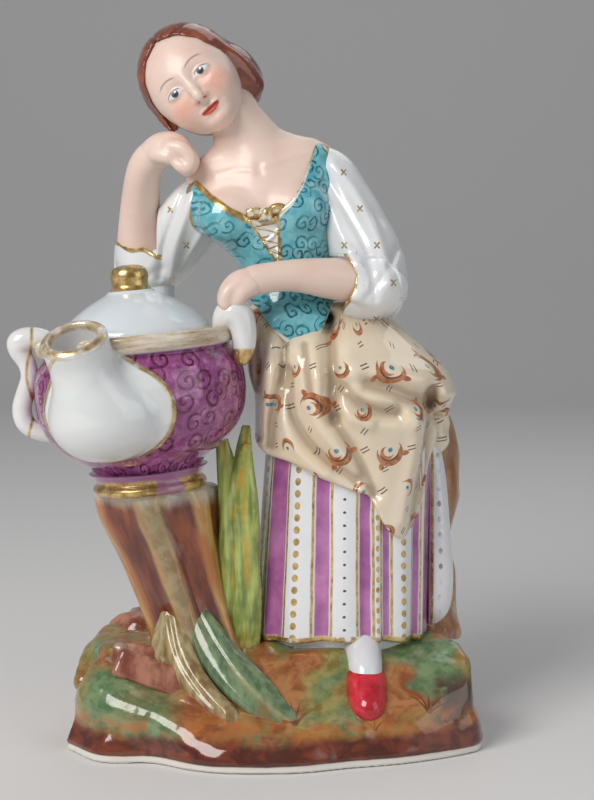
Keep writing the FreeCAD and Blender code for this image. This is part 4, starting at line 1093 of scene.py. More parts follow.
# %% Sleeve glaze
def sleeve_paint():
    material, shader, place = glaze_tree("sleeve_glaze")
    hem = value_of(place, "hem")
    white = colour(place, 0.83, 0.84, 0.85)
    body = colour(place, 0.55, 0.56, 0.58).over(white, place.cloud(12, 2, 0.5, 3).rise(0.50, 0.85) * 0.35)
    body = colour(place, 0.62, 0.54, 0.42).over(body, place.cloud(5, 3, 0.6, 5).rise(0.62, 0.85) * 0.25)
    x, _, z = place.parts()
    row = (z / 9.6).floor()
    u, v = (x / 8.4 + row * 0.5).wrap(1.0) - 0.5, (z / 9.6).wrap(1.0) - 0.5
    cross = ((u + v).size().low((u - v).size())).rise(0.045, 0.020) * (u.size().high(v.size())).rise(0.10,
            0.08) * (hem.rise(2.5, 4.0))
    gold = hem.band(0.55, 0.65, 0.3).high(cross * 0.9)
    return fire(material, shader, place, body, gold, 0.40, glow=0.12)


sleeve_glaze = sleeve_paint()
dress(sleeve_right, sleeve_glaze, "figurine", "sleeve_glaze", "sleeve_right")
dress(sleeve_left, sleeve_glaze, "figurine", "sleeve_glaze", "sleeve_left")
for piece, node in ((forearm_right, "forearm_right"), (forearm_left, "forearm_left"),
        (hand_right, "hand_right"), (hand_left, "hand_left")):
    dress(piece, skin_glaze, "figurine", "skin_glaze", node)

# %% [markdown]
# ### The laced bodice
# Light blue ground, with loose spirals in two teals, gold at the neckline, the seams and the lacing, and a
# bare white strip in the middle.

# %% Bodice glaze
def bodice_paint():
    material, shader, place = glaze_tree("bodice_glaze")
    x, y, z = place.parts()
    below = value_of(place, "from_neckline")
    flat = place.node("ShaderNodeCombineXYZ", (), {0: x + y * 0.5, 1: z, 2: 0.0})
    unsteady = place.node("ShaderNodeTexNoise", (), {"Vector": place, "Scale": 0.35},
            out=1).move("SUBTRACT", (0.5, 0.5, 0.5))
    bent = flat.move("ADD", unsteady.move("MULTIPLY", (1.6, 1.6, 0)))
    lines, lot = scrolls(bent, 4.6, 0.8, 1.9)
    blue = colour(place, 0.10, 0.42, 0.50).over(colour(place, 0.22, 0.56, 0.62),
            place.cloud(3.0, 3, 0.6, 2).rise(0.35, 0.65))
    teal = colour(place, 0.0, 0.10, 0.15).over(colour(place, 0.01, 0.20, 0.26), lot.rise(0.4, 0.6))
    body = teal.over(blue, lines * (0.45 + 0.5 * place.cloud(1.6, 2, 0.6, 3).rise(0.30, 0.55)))
    front = y.rise(1.0, -2.0)
    left_line = (x + 8.6) - (137 - z) * 0.66
    right_line = (x + 0.4) - (137 - z) * 0.04
    tall = z.rise(123.4, 124.6)
    inset = left_line.rise(-0.3, 0.3) * right_line.rise(0.3, -0.3) * tall * front
    white = colour(place, 0.78, 0.78, 0.76)
    body = white.over(body, inset)
    zig = ((z - 124.0) / 2.9).wrap(1.0)
    lace = ((zig - 0.5).size() * 2.0 - (x + 4.6 - (137 - z) * 0.36) / ((137 - z) * -0.62 + 9.4)
            - 0.5).size().rise(0.20, 0.10) * inset
    edges = (left_line.band(0, 0.38, 0.2).high(right_line.band(0, 0.34, 0.2))) * tall * front
    rim = (below - x.rise(-7.0, -9.0) * 1.1).rise(1.3, 0.9)
    basque = colour(place, 0.78, 0.78, 0.74)
    hem_line = (x - 4.6).size() * 0.62 + 103.2
    under = (z - hem_line).rise(1.2, 0.5) * front
    body = basque.over(body, under)
    arm_left, arm_right = (x + 24.2 + (z - 142) * (z - 142) * -0.02).size(), (x - 13.9
            + (z - 143) * (z - 143) * 0.012).size()
    armholes = (arm_left.rise(0.55, 0.30) * z.rise(130, 132)).high(arm_right.rise(0.50, 0.28)
            * z.rise(130, 133)) * y.rise(10, 6)
    patches = place.cloud(1.6, 2, 0.5, 7).rise(0.42, 0.55)
    ruffle = x.rise(-1.0, 0.0) * x.rise(9.0, 7.5)
    body = white.over(body, below.rise(2.1, 1.7) * x.rise(-9, -8) * front)
    gold = edges.high(lace * 0.85).high(rim * (1 - ruffle * patches * 0.8)).high(armholes * 0.8)
    return fire(material, shader, place, body, gold, 0.33)


bodice_glaze = bodice_paint()
dress(bodice, bodice_glaze, "figurine", "bodice_glaze", "bodice")


def bow_shape(p):
    x, _, z = p
    bow = egg(p, (-3.4, -6.6, 138.0), (1.6, 1.3, 1.5))
    for side in (-1, 1):
        bow = blend(bow, egg(p, (-3.4 + side * 3.1, -6.0, 138.6 + side * 0.5), (2.6, 1.1, 1.5)), 0.8)
        bow = blend(bow, limb(p, [(-3.4, -6.9, 137.4, 0.7), (-3.4 + side * 1.6, -6.9, 136.0, 0.6)], 2), 0.6)
    return bow - stroke(x, z, [(-7.2, 138.0), (-4.8, 138.3)], 0.4, -0.3) - stroke(x, z,
            [(-2.0, 138.6), (0.4, 139.2)], 0.4, -0.3)


bow = sculpt("neckline_bow_gilt", bow_shape, (-14, -10, 132), (3, -2, 144), 0.26)
bow_gold = white_ware("gilt_bow", (0.78, 0.72, 0.60), lambda place: place.cloud(1.8, 2, 0.5, 4).rise(0.40,
        0.52))
dress(bow, bow_gold, "figurine", "gilt", "neckline_bow")

# %% [markdown]
# ## Petticoat and apron
# Both skirts start as a stack of ovals.  The petticoat gets upright pleats, one ridge for every painted
# stripe group; the apron gets folds drawn with strokes, the way a modeller drags a tool through wet clay:
# long ones fanning from the waist, and a deep one beside the lap.  Its hem is a drawn line too.

# %% The petticoat
PLEATS = np.array([(-3.2, 0.0), (-2.9, -0.6), (-2.6, 0.7), (-2.3, -0.6), (-2.0, 0.7), (-1.75, -0.6),
        (-1.45, 0.7), (-1.25, 0.3), (-1.12, 0.5), (-0.93, -0.7),
                   (-0.74, 0.3), (-0.59, 0.8), (-0.44, 0.3), (-0.29, -0.7), (-0.16, 0.2), (-0.03, 0.9),
                   (0.12, 0.3), (0.21, -0.6), (0.34, 0.6), (0.47, -0.5),
                   (0.68, 0.9), (0.82, 0.3), (0.97, -0.6), (1.12, 0.6), (1.35, -0.6), (1.6, 0.6),
                   (1.9, -0.6), (2.2, 0.7), (2.5, -0.6), (2.8, 0.7), (3.0, -0.3), (3.2, 0.0)])
PLEATS = smooth_path(PLEATS, 6)
SKIRT = (17.5, -1.0)


def round_skirt(x, y):
    """Angle round the skirt: 0 at the front, growing to the girl's left."""
    return np.arctan2((x - SKIRT[0]) / 23.8, -(y - SKIRT[1]) / 17.0)


def petticoat_shape(p):
    x, y, z = p
    turn = round_skirt(x, y)
    cloth = stack(p, [(20, 16.2, -1.0, 22.8, 16.9), (28, 16.2, -1.0, 22.8, 16.9),
            (40, 16.6, -1.0, 22.6, 16.5), (55, 17.2, -1.0, 22.2, 16.1), (70, 17.9, -1.0, 21.8, 15.8),
                      (84, 18.2, -1.0, 21.0, 15.0), (92, 18.0, -1.0, 20.0, 14.4)])
    depth = np.interp(z, [26, 45, 90], [0.95, 0.8, 0.5])
    cloth = cloth - depth * np.interp(turn, PLEATS[:, 0], PLEATS[:, 1])
    hem = 27.4 - 1.8 * np.abs(turn) - 0.25 * np.interp(turn, PLEATS[:, 0], PLEATS[:, 1])
    cloth = overlap(cloth, hem - z, 0.8)
    under = stack(p, [(14, 16.4, -0.4, 20.8, 14.2), (34, 16.4, -0.4, 20.8, 14.2)])
    return blend(cloth, under, 0.4)


def petticoat_paint(p):
    x, y, z = p
    turn = round_skirt(x, y)
    hem = 27.4 - 1.8 * np.abs(turn) - 0.25 * np.interp(turn, PLEATS[:, 0], PLEATS[:, 1])
    return {"turn": turn, "above_hem": z - hem}


def fold_shape(p):
    x, y, z = p
    fold = limb(p, [(40.0, 3.5, 76, 2.6), (41.0, 2.4, 66, 3.2), (41.6, 1.8, 54, 3.6), (42.2, 1.4, 42, 3.9),
            (41.8, 1.6, 34, 3.7), (40.4, 2.0, 30.5, 2.8)], 4, 2.0)
    fold = blend(fold, limb(p, [(38.4, 6.0, 70, 4.0), (39.0, 6.0, 50, 5.0), (39.2, 6.0, 34, 5.2)], 3, 2.0),
            1.5)
    return fold - stroke(x, z, [(38.8, 72), (39.6, 55), (39.9, 40), (39.2, 30)], 0.9, -0.9) * step_up(-y,
            -3, 1)


petticoat = sculpt("petticoat_striped", petticoat_shape, (-10, -21, 16), (45, 19, 94), 0.46,
        petticoat_paint)
fold = sculpt("petticoat_back_fold", fold_shape, (33, -6, 24), (52, 14, 82), 0.46)


def petticoat_glaze_of():
    material, shader, place = glaze_tree("petticoat_glaze")
    turn, up = value_of(place, "turn"), value_of(place, "above_hem")
    white = colour(place, 0.84, 0.85, 0.87)
    body = colour(place, 0.60, 0.62, 0.66).over(white, place.cloud(14, 2, 0.5, 3).rise(0.5, 0.85) * 0.35)
    wander = (place.cloud(6.0, 1, 0.5, 5) - 0.5) * 0.02
    where = turn + wander
    stripes = lines = None
    for centre, half in ((-0.93, 0.155), (-0.29, 0.085), (0.205, 0.066), (0.475, 0.045), (0.985, 0.06),
            (-1.6, 0.12), (-2.25, 0.12), (-2.85, 0.12),
                         (1.5, 0.12), (2.05, 0.12), (2.65, 0.12)):
        stripe = where.band(centre, half, 0.012)
        line = (where - centre).size().band(half + 0.028, 0.014, 0.008)
        stripes = stripe if stripes is None else stripes.high(stripe)
        lines = line if lines is None else lines.high(line)
    violet = place.node("ShaderNodeValToRGB", (), {0: place.cloud(9.0, 3.0, 0.6, 2.0)})
    ramp = violet.socket.node.color_ramp
    ramp.elements[0].position, ramp.elements[0].color = 0.34, (0.34, 0.09, 0.30, 1)
    ramp.elements[1].position, ramp.elements[1].color = 0.66, (0.60, 0.22, 0.49, 1)
    clear = up.rise(1.2, 1.9)
    body = violet.over(body, stripes * clear)

    def dots(centres, apart, across, tall, start=0.0):
        """Columns of oval dots."""
        row = (up / apart + start).wrap(1.0) - 0.5
        total = None
        for centre in centres:
            u = (where - centre) * 20.0 / across
            v = row * apart / tall
            dot = (u * u + v * v).root().rise(1.12, 0.85)
            total = dot if total is None else total.high(dot)
        return total * clear
    ovals = dots((-0.60, 0.70, -1.25, -1.92, 1.22, 1.78, 2.35, -2.55), 3.15, 0.80, 0.95)
    ovals = ovals.high(dots((0.350,), 2.7, 0.46, 0.75, 0.3))
    small = dots((-0.03, 3.05), 3.4, 0.36, 0.36, 0.5)
    body = colour(place, 0.10, 0.07, 0.05).over(body, small)
    hem_gold = up.band(0.75, 0.75, 0.25)
    gold = (lines * clear).high(ovals).high(hem_gold * place.cloud(3.0, 2, 0.5, 4).rise(0.30, 0.45))
    body = colour(place, 0.40, 0.26, 0.10).over(body, ovals * 0.7)
    return fire(material, shader, place, body, gold * (1 - small), 0.34, glow=0.10)


def fold_glaze_of():
    material, shader, place = glaze_tree("petticoat_fold_glaze")
    x, y, z = place.parts()
    white = colour(place, 0.80, 0.82, 0.84)
    body = colour(place, 0.16, 0.012, 0.012).over(white,
            (x - 39.3).size().rise(1.1, 0.4) * y.rise(1.5, 0.0) * z.rise(70, 62))
    row = (z / 4.2).wrap(1.0) - 0.5
    u, v = (x - 43.0 + (z - 45).size() * 0.03) / 0.55, row * 4.2 / 0.8
    dot = (u * u + v * v).root().rise(1.2, 0.8) * place.cloud(5, 2, 0.5, 4).rise(0.35, 0.6)
    body = colour(place, 0.18, 0.14, 0.10).over(body, dot * 0.8)
    gold = (x - 40.7).size().rise(0.5, 0.2) * y.rise(1, 0)
    return fire(material, shader, place, body, gold, 0.42, glow=0.10)


petticoat_glaze = petticoat_glaze_of()
fold_glaze = fold_glaze_of()
dress(petticoat, petticoat_glaze, "figurine", "petticoat_glaze", "petticoat")
dress(fold, fold_glaze, "figurine", "petticoat_glaze", "petticoat_fold")

# %% The apron
HEM = smooth_path([(-14, 82), (-9, 80.5), (-6.9, 78.4), (-4.3, 75.4), (2.4, 73.8), (11.4, 69.7),
        (19.4, 66.7), (23.2, 65.0), (27.2, 57.4), (30.8, 54.0), (34.2, 55.2),
                   (37.4, 62.4), (39.4, 73.0), (42, 76.6), (47, 79), (52, 80)], 5)
GROOVES = [
    ([(1.6, 106), (1.1, 98.5), (0.2, 93), (-1.6, 85.2), (-2.2, 77.5)], 1.3, -1.7),
    ([(2.6, 97), (3.2, 87.6), (5.4, 82.6), (8.2, 78.6), (11.8, 75.2), (15.5, 72.6), (19.5, 69.5)], 1.4,
     -1.9),
    ([(12.9, 110), (13.4, 104), (13.7, 98), (13.5, 91.5), (13.8, 86.8)], 1.7, -3.0),
    ([(14.4, 84.4), (18.6, 78.0), (21.8, 72.0), (24.2, 66.0)], 1.4, -1.7),
    ([(16.6, 93.4), (20, 89.8), (24.6, 87.6), (29.8, 87.2)], 1.7, -1.7),
    ([(22.6, 94.6), (28.2, 93.2), (33.6, 90.8), (38.4, 89.8)], 2.0, -2.1),
    ([(39.4, 92.6), (38.6, 84), (37.6, 75), (35.6, 66), (34.2, 55)], 1.2, -1.8),
    ([(41.4, 84.8), (44.6, 84.0), (47, 84.0)], 1.0, -1.1),
    ([(-5.6, 104), (-5.4, 96), (-5.8, 88), (-5.6, 80)], 1.1, -0.9),
    ([(6.4, 104), (6.9, 98.6), (7.8, 92)], 1.2, -0.7),
]
RIDGES = [
    ([(-3.0, 104), (-2.6, 96), (-4.0, 86), (-4.2, 79)], 1.6, 0.9),
    ([(1.2, 92), (1.4, 85), (3.6, 79.5), (7.5, 75.2), (12, 72)], 1.6, 0.9),
    ([(8.6, 103), (9.6, 94), (10.2, 86.6), (13.5, 80.6), (18, 74.4), (21.5, 68.4)], 2.0, 1.2),
    ([(15.6, 91.6), (16.0, 88.4), (18.6, 86.2), (23, 84.6)], 1.4, 0.9),
    ([(16.2, 100), (22, 97.6), (30, 97.0), (38, 95.2), (43, 92)], 2.2, 1.1),
    ([(20.5, 92.4), (26, 90.8), (31.5, 88.6), (35, 84)], 1.5, 0.9),
    ([(36.2, 86), (35.8, 78), (34, 69), (32, 59)], 1.8, 0.8),
    ([(-8.5, 112.6), (-3.6, 109.2), (1.2, 104.6), (5.0, 102.4)], 1.7, 1.0),
]


def apron_shape(p):
    x, y, z = p
    cloth = stack(p, [(48, 18.0, -1.0, 24.6, 17.8), (60, 18.0, -1.0, 24.7, 18.2),
            (70, 18.0, -1.0, 24.9, 18.6), (78, 18.2, -1.2, 25.3, 19.2), (85, 18.8, -1.5, 26.0, 20.0),
                      (91, 19.3, -1.8, 26.9, 20.4), (97, 17.8, -1.6, 26.4, 19.6),
                      (102, 15.2, -0.6, 24.0, 17.4), (107, 12.2, 1.0, 21.2, 14.8),
                      (111, 10.2, 2.4, 18.8, 12.4), (115.5, 8.0, 4.0, 14.5, 9.8)])
    front = step_up(-y, -6.0, 1.0)
    folds = 0.0
    for points, width, height in GROOVES + RIDGES:
        folds = folds + stroke(x, z, points, width * 1.45, height * 1.45, 4)
    folds = folds - 3.4 * np.exp(-(((x - 5.4) / 9.5) ** 2 + ((z - 107.5) / 7.0) ** 2))
    behind = 0.9 * np.sin(np.arctan2(x - 18, y + 1) * 9 + 0.05 * z) * (1 - front) * step_up(-z, -112, -96)
    cloth = cloth - folds * front - behind
    side = 0.75 * np.exp(-((z - 89.0) / 2.6) ** 2) - 1.5 * np.exp(-((z - 84.2) / 1.9)
            ** 2) - 0.6 * np.exp(-((z - 76) / 2.5) ** 2)
    cloth = cloth - side * step_up(x, 38, 43)
    recess = 1.5 * step_up(x, 38.4 - (91 - z) * 0.11, 39.6 - (91 - z) * 0.11) * step_up(-z, -92,
            -88) * front
    cloth = cloth + recess
    hem = np.interp(x, HEM[:, 0], HEM[:, 1]) * front + 81.0 * (1 - front)
    return overlap(cloth, (hem - z) * 0.86, 1.5)


def apron_paint(p):
    x, y, z = p
    turn = np.arctan2((x - 18.0) / 26.0, -(y + 1.2) / 19.5)
    # hollow is 1 along the fold grooves; the apron glaze lays painted shade there with it
    hollow = sum(stroke(x, z, points, width * 1.3, 1.0, 4) for points, width, _ in GROOVES) * step_up(-y,
            -6, 1)
    return {"turn": turn * 23.5, "hollow": np.clip(hollow, 0, 1)}


def gather_shape(p):
    _, y, z = p
    lump = limb(p, [(39.0, 5.0, 98, 3.2), (41.8, 4.4, 92, 4.0), (42.2, 4.4, 87.5, 3.4),
            (40.6, 4.6, 84, 3.0), (41.8, 4.8, 79.6, 3.5), (40.0, 4.8, 74, 2.9)], 4, 1.6)
    return lump - 0.35 * np.sin(z * 0.9 + y * 0.5)


apron = sculpt("apron_draped", apron_shape, (-14, -27, 48), (51, 24, 116), 0.46, apron_paint)
gather = sculpt("apron_side_gather", gather_shape, (34, -4, 68), (52, 13, 103), 0.46, apron_paint)


def apron_glaze_of():
    material, shader, place = glaze_tree("apron_glaze")
    x, y, z = place.parts()
    turn, hollow = value_of(place, "turn"), value_of(place, "hollow")
    cream = colour(place, 0.84, 0.71, 0.53)
    body = colour(place, 0.86, 0.79, 0.68).over(cream, place.cloud(9.0, 3, 0.55, 2).rise(0.45, 0.75) * 0.6)
    body = colour(place, 0.62, 0.44, 0.27).over(body, place.cloud(12.0, 3, 0.55, 7).rise(0.55, 0.8) * 0.35)
    # painted shade: dark brown laid into the fold grooves
    body = colour(place, 0.38, 0.27, 0.17).over(body, hollow.rise(0.42, 1.0) * 0.66)
    # painted shade: the top front of the apron, at the waist under the bodice, darkened brown
    body = colour(place, 0.38, 0.27, 0.17).over(body, z.rise(103, 112) * y.rise(2, -4) * 0.5)

    def cell(across, up, shift_x, shift_z, seed):
        """A staggered lattice: the place in the cell, and two random numbers for each cell."""
        v = (z + shift_z) / up
        row = v.floor()
        u = (turn + shift_x) / across + row * 0.5
        column = u.floor()
        lot = place.node("ShaderNodeTexWhiteNoise", {"noise_dimensions": "3D"},
                         {"Vector": place.node("ShaderNodeCombineXYZ", (), {0: column, 1: row, 2: seed})},
                         out=1)
        first, second, third = lot.parts()
        return (u - column - 0.5) * across + (first - 0.5) * 1.3, (v - row - 0.5) * up + (second
                - 0.5), second, third

    def turned_about(u, v, angle):
        c, s = angle.sum("COSINE", angle), angle.sin()
        return u * c + v * s, v * c - u * s

    u, v, turn_lot, size_lot = cell(12.2, 10.6, 3.0, 2.0, 3.0)
    big = 1.0 + size_lot.rise(0.45, 0.80) * 0.55
    u, v = turned_about(u / big, v / big, turn_lot * 6.28)
    reach, angle = (u * u + v * v).root(), place.sum("ARCTAN2", v, u)
    taper = (angle - 0.2).size().rise(2.3, 0.3)
    arc = ((reach - 2.0).size() - taper * 0.58).rise(0.08, -0.06) * taper.rise(0.02, 0.10)
    u2, v2 = u - 0.15, v + 0.25
    reach2 = (u2 * u2 + v2 * v2).root()
    taper2 = (angle + 0.9).size().rise(1.9, 0.3)
    arc2 = ((reach2 - 1.02).size() - taper2 * 0.30).rise(0.07, -0.05) * taper2.rise(0.02,
            0.10) * size_lot.rise(0.2, 0.3)
    u3, v3 = u - 0.7, v - 2.5
    leaf = ((u3 * u3 * 2.2 + v3 * v3 * 0.75).root() - 0.62).rise(0.10, -0.05) * size_lot.rise(0.50, 0.60)
    u4, v4 = u - 2.5, v + 1.5
    leaf2 = ((u4 * u4 * 0.8 + v4 * v4 * 2.4).root() - 0.60).rise(0.10, -0.05) * size_lot.rise(0.50, 0.60)
    brown = colour(place, 0.30, 0.085, 0.025).over(colour(place, 0.56, 0.21, 0.07),
            place.cloud(1.4, 3, 0.6, 4).rise(0.40, 0.62))
    mark = arc.high(arc2).high(leaf).high(leaf2)
    body = brown.over(body, mark * 0.94)
    dark_edge = ((reach - 1.62).size() - taper * 0.12).rise(0.07, -0.03) * taper.rise(0.2, 0.5)
    body = colour(place, 0.11, 0.025, 0.010).over(body, dark_edge * 0.85)
    u5, v5 = u + 0.15, v - 0.15
    drop = ((u5 * u5 + v5 * v5).root() - 0.46 / big.root()).rise(0.10, -0.05)
    body = colour(place, 0.05, 0.16, 0.25).over(colour(place, 0.22, 0.40, 0.48).over(body, drop),
            drop * place.cloud(0.5, 2, 0.5, 8).rise(0.45, 0.6))
    u, v, turn_lot, _ = cell(12.2, 10.6, 9.1, 2.0, 7.0)
    u, v = turned_about(u, v, turn_lot * 1.2 + 0.2)
    dashes = ((v.size() - 0.44).size() - 0.14).rise(0.07, -0.03) * (u.size() - 0.95).rise(0.10, -0.10)
    body = colour(place, 0.055, 0.040, 0.030).over(body, dashes * 0.92)
    u, v, turn_lot, _ = cell(12.2, 10.6, 3.0, 7.3, 9.0)
    u, v = turned_about(u, v, turn_lot * 1.2 + 0.2)
    dashes = ((v.size() - 0.42).size() - 0.13).rise(0.07, -0.03) * (u.size() - 0.85).rise(0.10, -0.10)
    body = colour(place, 0.055, 0.040, 0.030).over(body, dashes * 0.85)
    return fire(material, shader, place, body, glow=0.08)


apron_glaze = apron_glaze_of()
dress(apron, apron_glaze, "figurine", "apron_glaze", "apron")
dress(gather, apron_glaze, "figurine", "apron_glaze", "apron_gather")

# %% [markdown]
# ## Rocks, stump and plants
# The ground is a rough lump: an outline with bays and points, a slope that climbs from the front lip to the
# skirt, and loose ridges on top.  Painters dabbed it wet in wet: orange, olive, green and maroon run into
# each other, with a dark red-brown band along the lip and a few brush-stroke tufts.

# %% Ground
BASE_LOW, BASE_HIGH = node_box("base")
FRONT_SPREAD = 7.4  # how far the painted front lip reaches past the solid model's
PLAN = smooth_path([(-1.00, -0.52), (-0.82, -0.78), (-0.58, -0.80), (-0.40, -0.93), (-0.20, -1.0),
        (0.10, -0.99), (0.34, -0.90), (0.62, -0.80), (0.90, -0.62), (0.985, -0.48),
                    (0.985, -0.22), (1.0, 0.02), (0.90, 0.30), (0.80, 0.62), (0.48, 0.88), (0.16, 0.97),
                    (-0.20, 1.0), (-0.55, 0.88), (-0.84, 0.62), (-0.90, 0.30),
                    (-0.98, 0.02), (-0.94, -0.25), (-1.00, -0.52)], 5)
PLAN_TURN = np.arctan2(PLAN[:, 1], PLAN[:, 0])
PLAN_ORDER = np.argsort(PLAN_TURN)
PLAN_TURN, PLAN_REACH = PLAN_TURN[PLAN_ORDER], np.hypot(PLAN[:, 0], PLAN[:, 1])[PLAN_ORDER]


def ground_top(x, y):
    """Height of the painted ground."""
    slope = np.interp(y, [-42, -37, -29, -21, -15, -10, -4, 35],
            [4.6, 7.2, 12.8, 18.6, 22.6, 25.0, 26.6, 27.0])
    mound = 3.2 * np.exp(-(((x - 12) / 26) ** 2 + ((y + 18) / 4.5) ** 2))
    left = 3.4 * step_up(-x, 30, 40) * np.exp(-((y + 24) / 6.0) ** 2)
    dips = 0.55 * ripple(x, y, 0 * x, 17.0, 3) + 0.25 * ripple(x, y, 0 * x, 7.0, 4)
    return slope + mound + left + dips * step_up(-y, -30, -20)


def ground_shape(p):
    x, y, z = p
    half_x, half_y = (BASE_HIGH[0] - BASE_LOW[0]) / 2, (BASE_HIGH[1] - BASE_LOW[1]) / 2
    centre = (BASE_HIGH[0] + BASE_LOW[0]) / 2
    half_y = half_y + FRONT_SPREAD * step_up(-y, 0, 20)
    share_x, share_y = (x - centre) / half_x, y / half_y
    turn, reach = np.arctan2(share_y, share_x), np.hypot(share_x, share_y)
    edge = np.interp(turn, PLAN_TURN, PLAN_REACH, period=2 * math.pi)
    lean = np.interp(z, [0, 3, 8, 16, 27], [0.0, 0.015, 0.045, 0.085, 0.14])
    lean = lean * (1 + 0.4 * np.sin(turn * 5 + 1.0))
    across = np.sqrt((x - centre) ** 2 + y ** 2 + 1.0) / np.maximum(reach, 0.05)
    wall = (reach - edge * (1 - lean)) * across * 0.80
    wall = wall - (0.9 * ripple(x, y, z, 15.0, 6) + 0.35 * ripple(x, y, z, 6.0, 7)) * step_up(z, 2,
            10) * 0.8 + 0.5 * step_up(-z, -2.4, -1.4)
    lump = overlap(wall, (z - ground_top(x, y)) * 0.82, 2.2)
    lump = blend(lump, limb(p, [(-47, -22, 13.4, 4.5), (-38, -26.5, 11.6, 4.2), (-28, -30, 9.2, 3.6),
            (-17, -33, 7.2, 2.6)], 4), 4.5)
    lump = blend(lump, limb(p, [(-52, -8, 14, 3.0), (-50, 0, 19, 3.4), (-46, 8, 21, 4.0)], 3), 3.0)
    lump = blend(lump, limb(p, [(-24, -25.5, 13.8, 2.6), (-10, -29.5, 9.4, 2.6), (0, -31.5, 7.2, 2.0)], 3),
            2.0)
    hollow = overlap(wall + 3.6, (z - ground_top(x, y) * 0.80 + 3.0) * 0.82, 2.0)
    lump = carve(lump, overlap(hollow, 3.0 - z, 0.6), 0.6)
    vent = np.sqrt(x ** 2 + y ** 2) - 4.0
    lump = carve(lump, np.maximum(vent, z - 8.0), 0.5)
    return overlap(lump, -z, 0.35)


def ground_paint(p):
    x, _, z = p
    return {"lip": z - np.interp(x, [-56, -40, -20, 0, 20, 40, 54], [6.6, 6.0, 6.8, 6.0, 6.8, 6.6, 7.4])}


ground = sculpt("ground_painted", ground_shape, (BASE_LOW[0] - 1.0, BASE_LOW[1] - FRONT_SPREAD - 1.0,
        -0.6), (*BASE_HIGH[:2] + 1.0, 32), 0.58, ground_paint)


def tuft(x, z, foot, spread, tall, count, seed):
    """A fan of brush strokes rising from a foot."""
    rng = np.random.default_rng(seed)
    total = None
    for number in range(count):
        lean = (number / max(1, count - 1) - 0.5) * 2
        height = tall * rng.uniform(0.7, 1.1)
        up = (z - foot[1]) / height
        bend = (x - foot[0]) - up * up * lean * spread - up * lean * spread * 0.5
        blade = (bend.size() - 0.42 * (1 - up)).rise(0.14, -0.08) * up.rise(0.0, 0.1) * up.rise(1.0, 0.85)
        total = blade if total is None else total.high(blade)
    return total


def ground_glaze_of():
    material, shader, place = glaze_tree("ground_glaze")
    x, y, z = place.parts()
    lip = value_of(place, "lip")
    wet = place.node("ShaderNodeTexNoise", (), {"Vector": place, "Scale": 0.10, "Detail": 2.0},
            out=1).move("SUBTRACT", (0.5, 0.5, 0.5))
    runny = place.move("ADD", wet.move("MULTIPLY", (14, 14, 8)))
    streak = runny.move("MULTIPLY", (1.0, 0.55, 1.3))
    orange = colour(place, 0.27, 0.075, 0.020)
    body = colour(place, 0.46, 0.20, 0.07).over(orange, streak.cloud(5.0, 4, 0.6, 2).rise(0.40, 0.62))
    olive = colour(place, 0.19, 0.17, 0.035).over(colour(place, 0.38, 0.34, 0.11),
            place.cloud(3.0, 4, 0.65, 3).rise(0.35, 0.65))
    body = olive.over(body, streak.cloud(16.0, 2, 0.5, 8).rise(0.44, 0.60) * 0.85)
    green = colour(place, 0.07, 0.18, 0.075).over(colour(place, 0.20, 0.30, 0.15),
            place.cloud(4.0, 3, 0.6, 4).rise(0.38, 0.62))
    body = green.over(body, (streak.cloud(15.0, 2, 0.5, 5).rise(0.53, 0.64)
            + (x + 38).size().rise(16, 8) * y.rise(-18, -23) * 0.8).low(1.0) * 0.9)
    maroon = colour(place, 0.075, 0.022, 0.022)
    right_patch = ((x - 46).size() / 8.0).rise(1.1, 0.5) * (z - 13).size().rise(8, 4)
    body = maroon.over(body, (right_patch * streak.cloud(8.0, 3, 0.6, 6).rise(0.30, 0.50)
            + streak.cloud(12.0, 3, 0.6, 9).rise(0.62, 0.70) * 0.8).low(1.0) * 0.85)
    pale = colour(place, 0.55, 0.54, 0.48)
    body = pale.over(body, place.cloud(10.0, 3, 0.6, 11).rise(0.64, 0.76) * 0.35)
    up = y * 0.62 + z * 0.78
    for foot, spread, tall, count, seed in (((4.0, -13.4), 5.0, 8.5, 6, 3), ((38.0, -9.0), 4.4, 6.0, 5, 5),
            ((24.0, -14.2), 2.6, 3.6, 3, 7)):
        body = colour(place, 0.11, 0.035, 0.012).over(body,
                tuft(x, up, foot, spread, tall, count, seed) * y.rise(-12, -14) * 0.85)
    waver = (place.cloud(9.0, 3, 0.6, 12) - 0.5) * 4.5
    band = (lip + waver).rise(2.2, -0.6)
    lip_tone = colour(place, 0.22, 0.042, 0.018).over(colour(place, 0.085, 0.016, 0.010),
            streak.cloud(6.0, 4, 0.6, 13).rise(0.42, 0.62))
    body = lip_tone.over(body, band * 0.96)
    rust = colour(place, 0.50, 0.16, 0.035)
    body = rust.over(body, (lip + waver).band(2.6, 1.6, 2.0)
            * streak.cloud(7.0, 3, 0.6, 14).rise(0.42, 0.56) * 0.8)
    bare = colour(place, 0.80, 0.76, 0.70)
    body = bare.over(body, (z + waver * 0.16).rise(1.9, 1.5))
    return fire(material, shader, place, body, ripple_size=6.0, bump=0.018, speck=0.35)


ground_glaze = ground_glaze_of()
dress(ground, ground_glaze, "figurine", "ground_glaze", "base")

# %% Loose stones and the seat rock
def brick(p, centre, half, turn, soft):
    """A rounded block, turned."""
    x, y, z = p[0] - centre[0], p[1] - centre[1], p[2] - centre[2]
    q = [x * row[0] + y * row[1] + z * row[2] for row in turn]
    gap = [np.abs(v) - (h - soft) for v, h in zip(q, half)]
    outside = np.sqrt(sum(np.maximum(g, 0) ** 2 for g in gap))
    return outside + np.minimum(np.maximum(np.maximum(gap[0], gap[1]), gap[2]), 0) - soft


def turned_axes(about_y, about_x):
    """Three directions of a thing turned about y, then about x."""
    c, s, d, e = math.cos(about_y), math.sin(about_y), math.cos(about_x), math.sin(about_x)
    return np.array([(c, 0, -s), (s * e, d, c * e), (s * d, -e, c * d)])


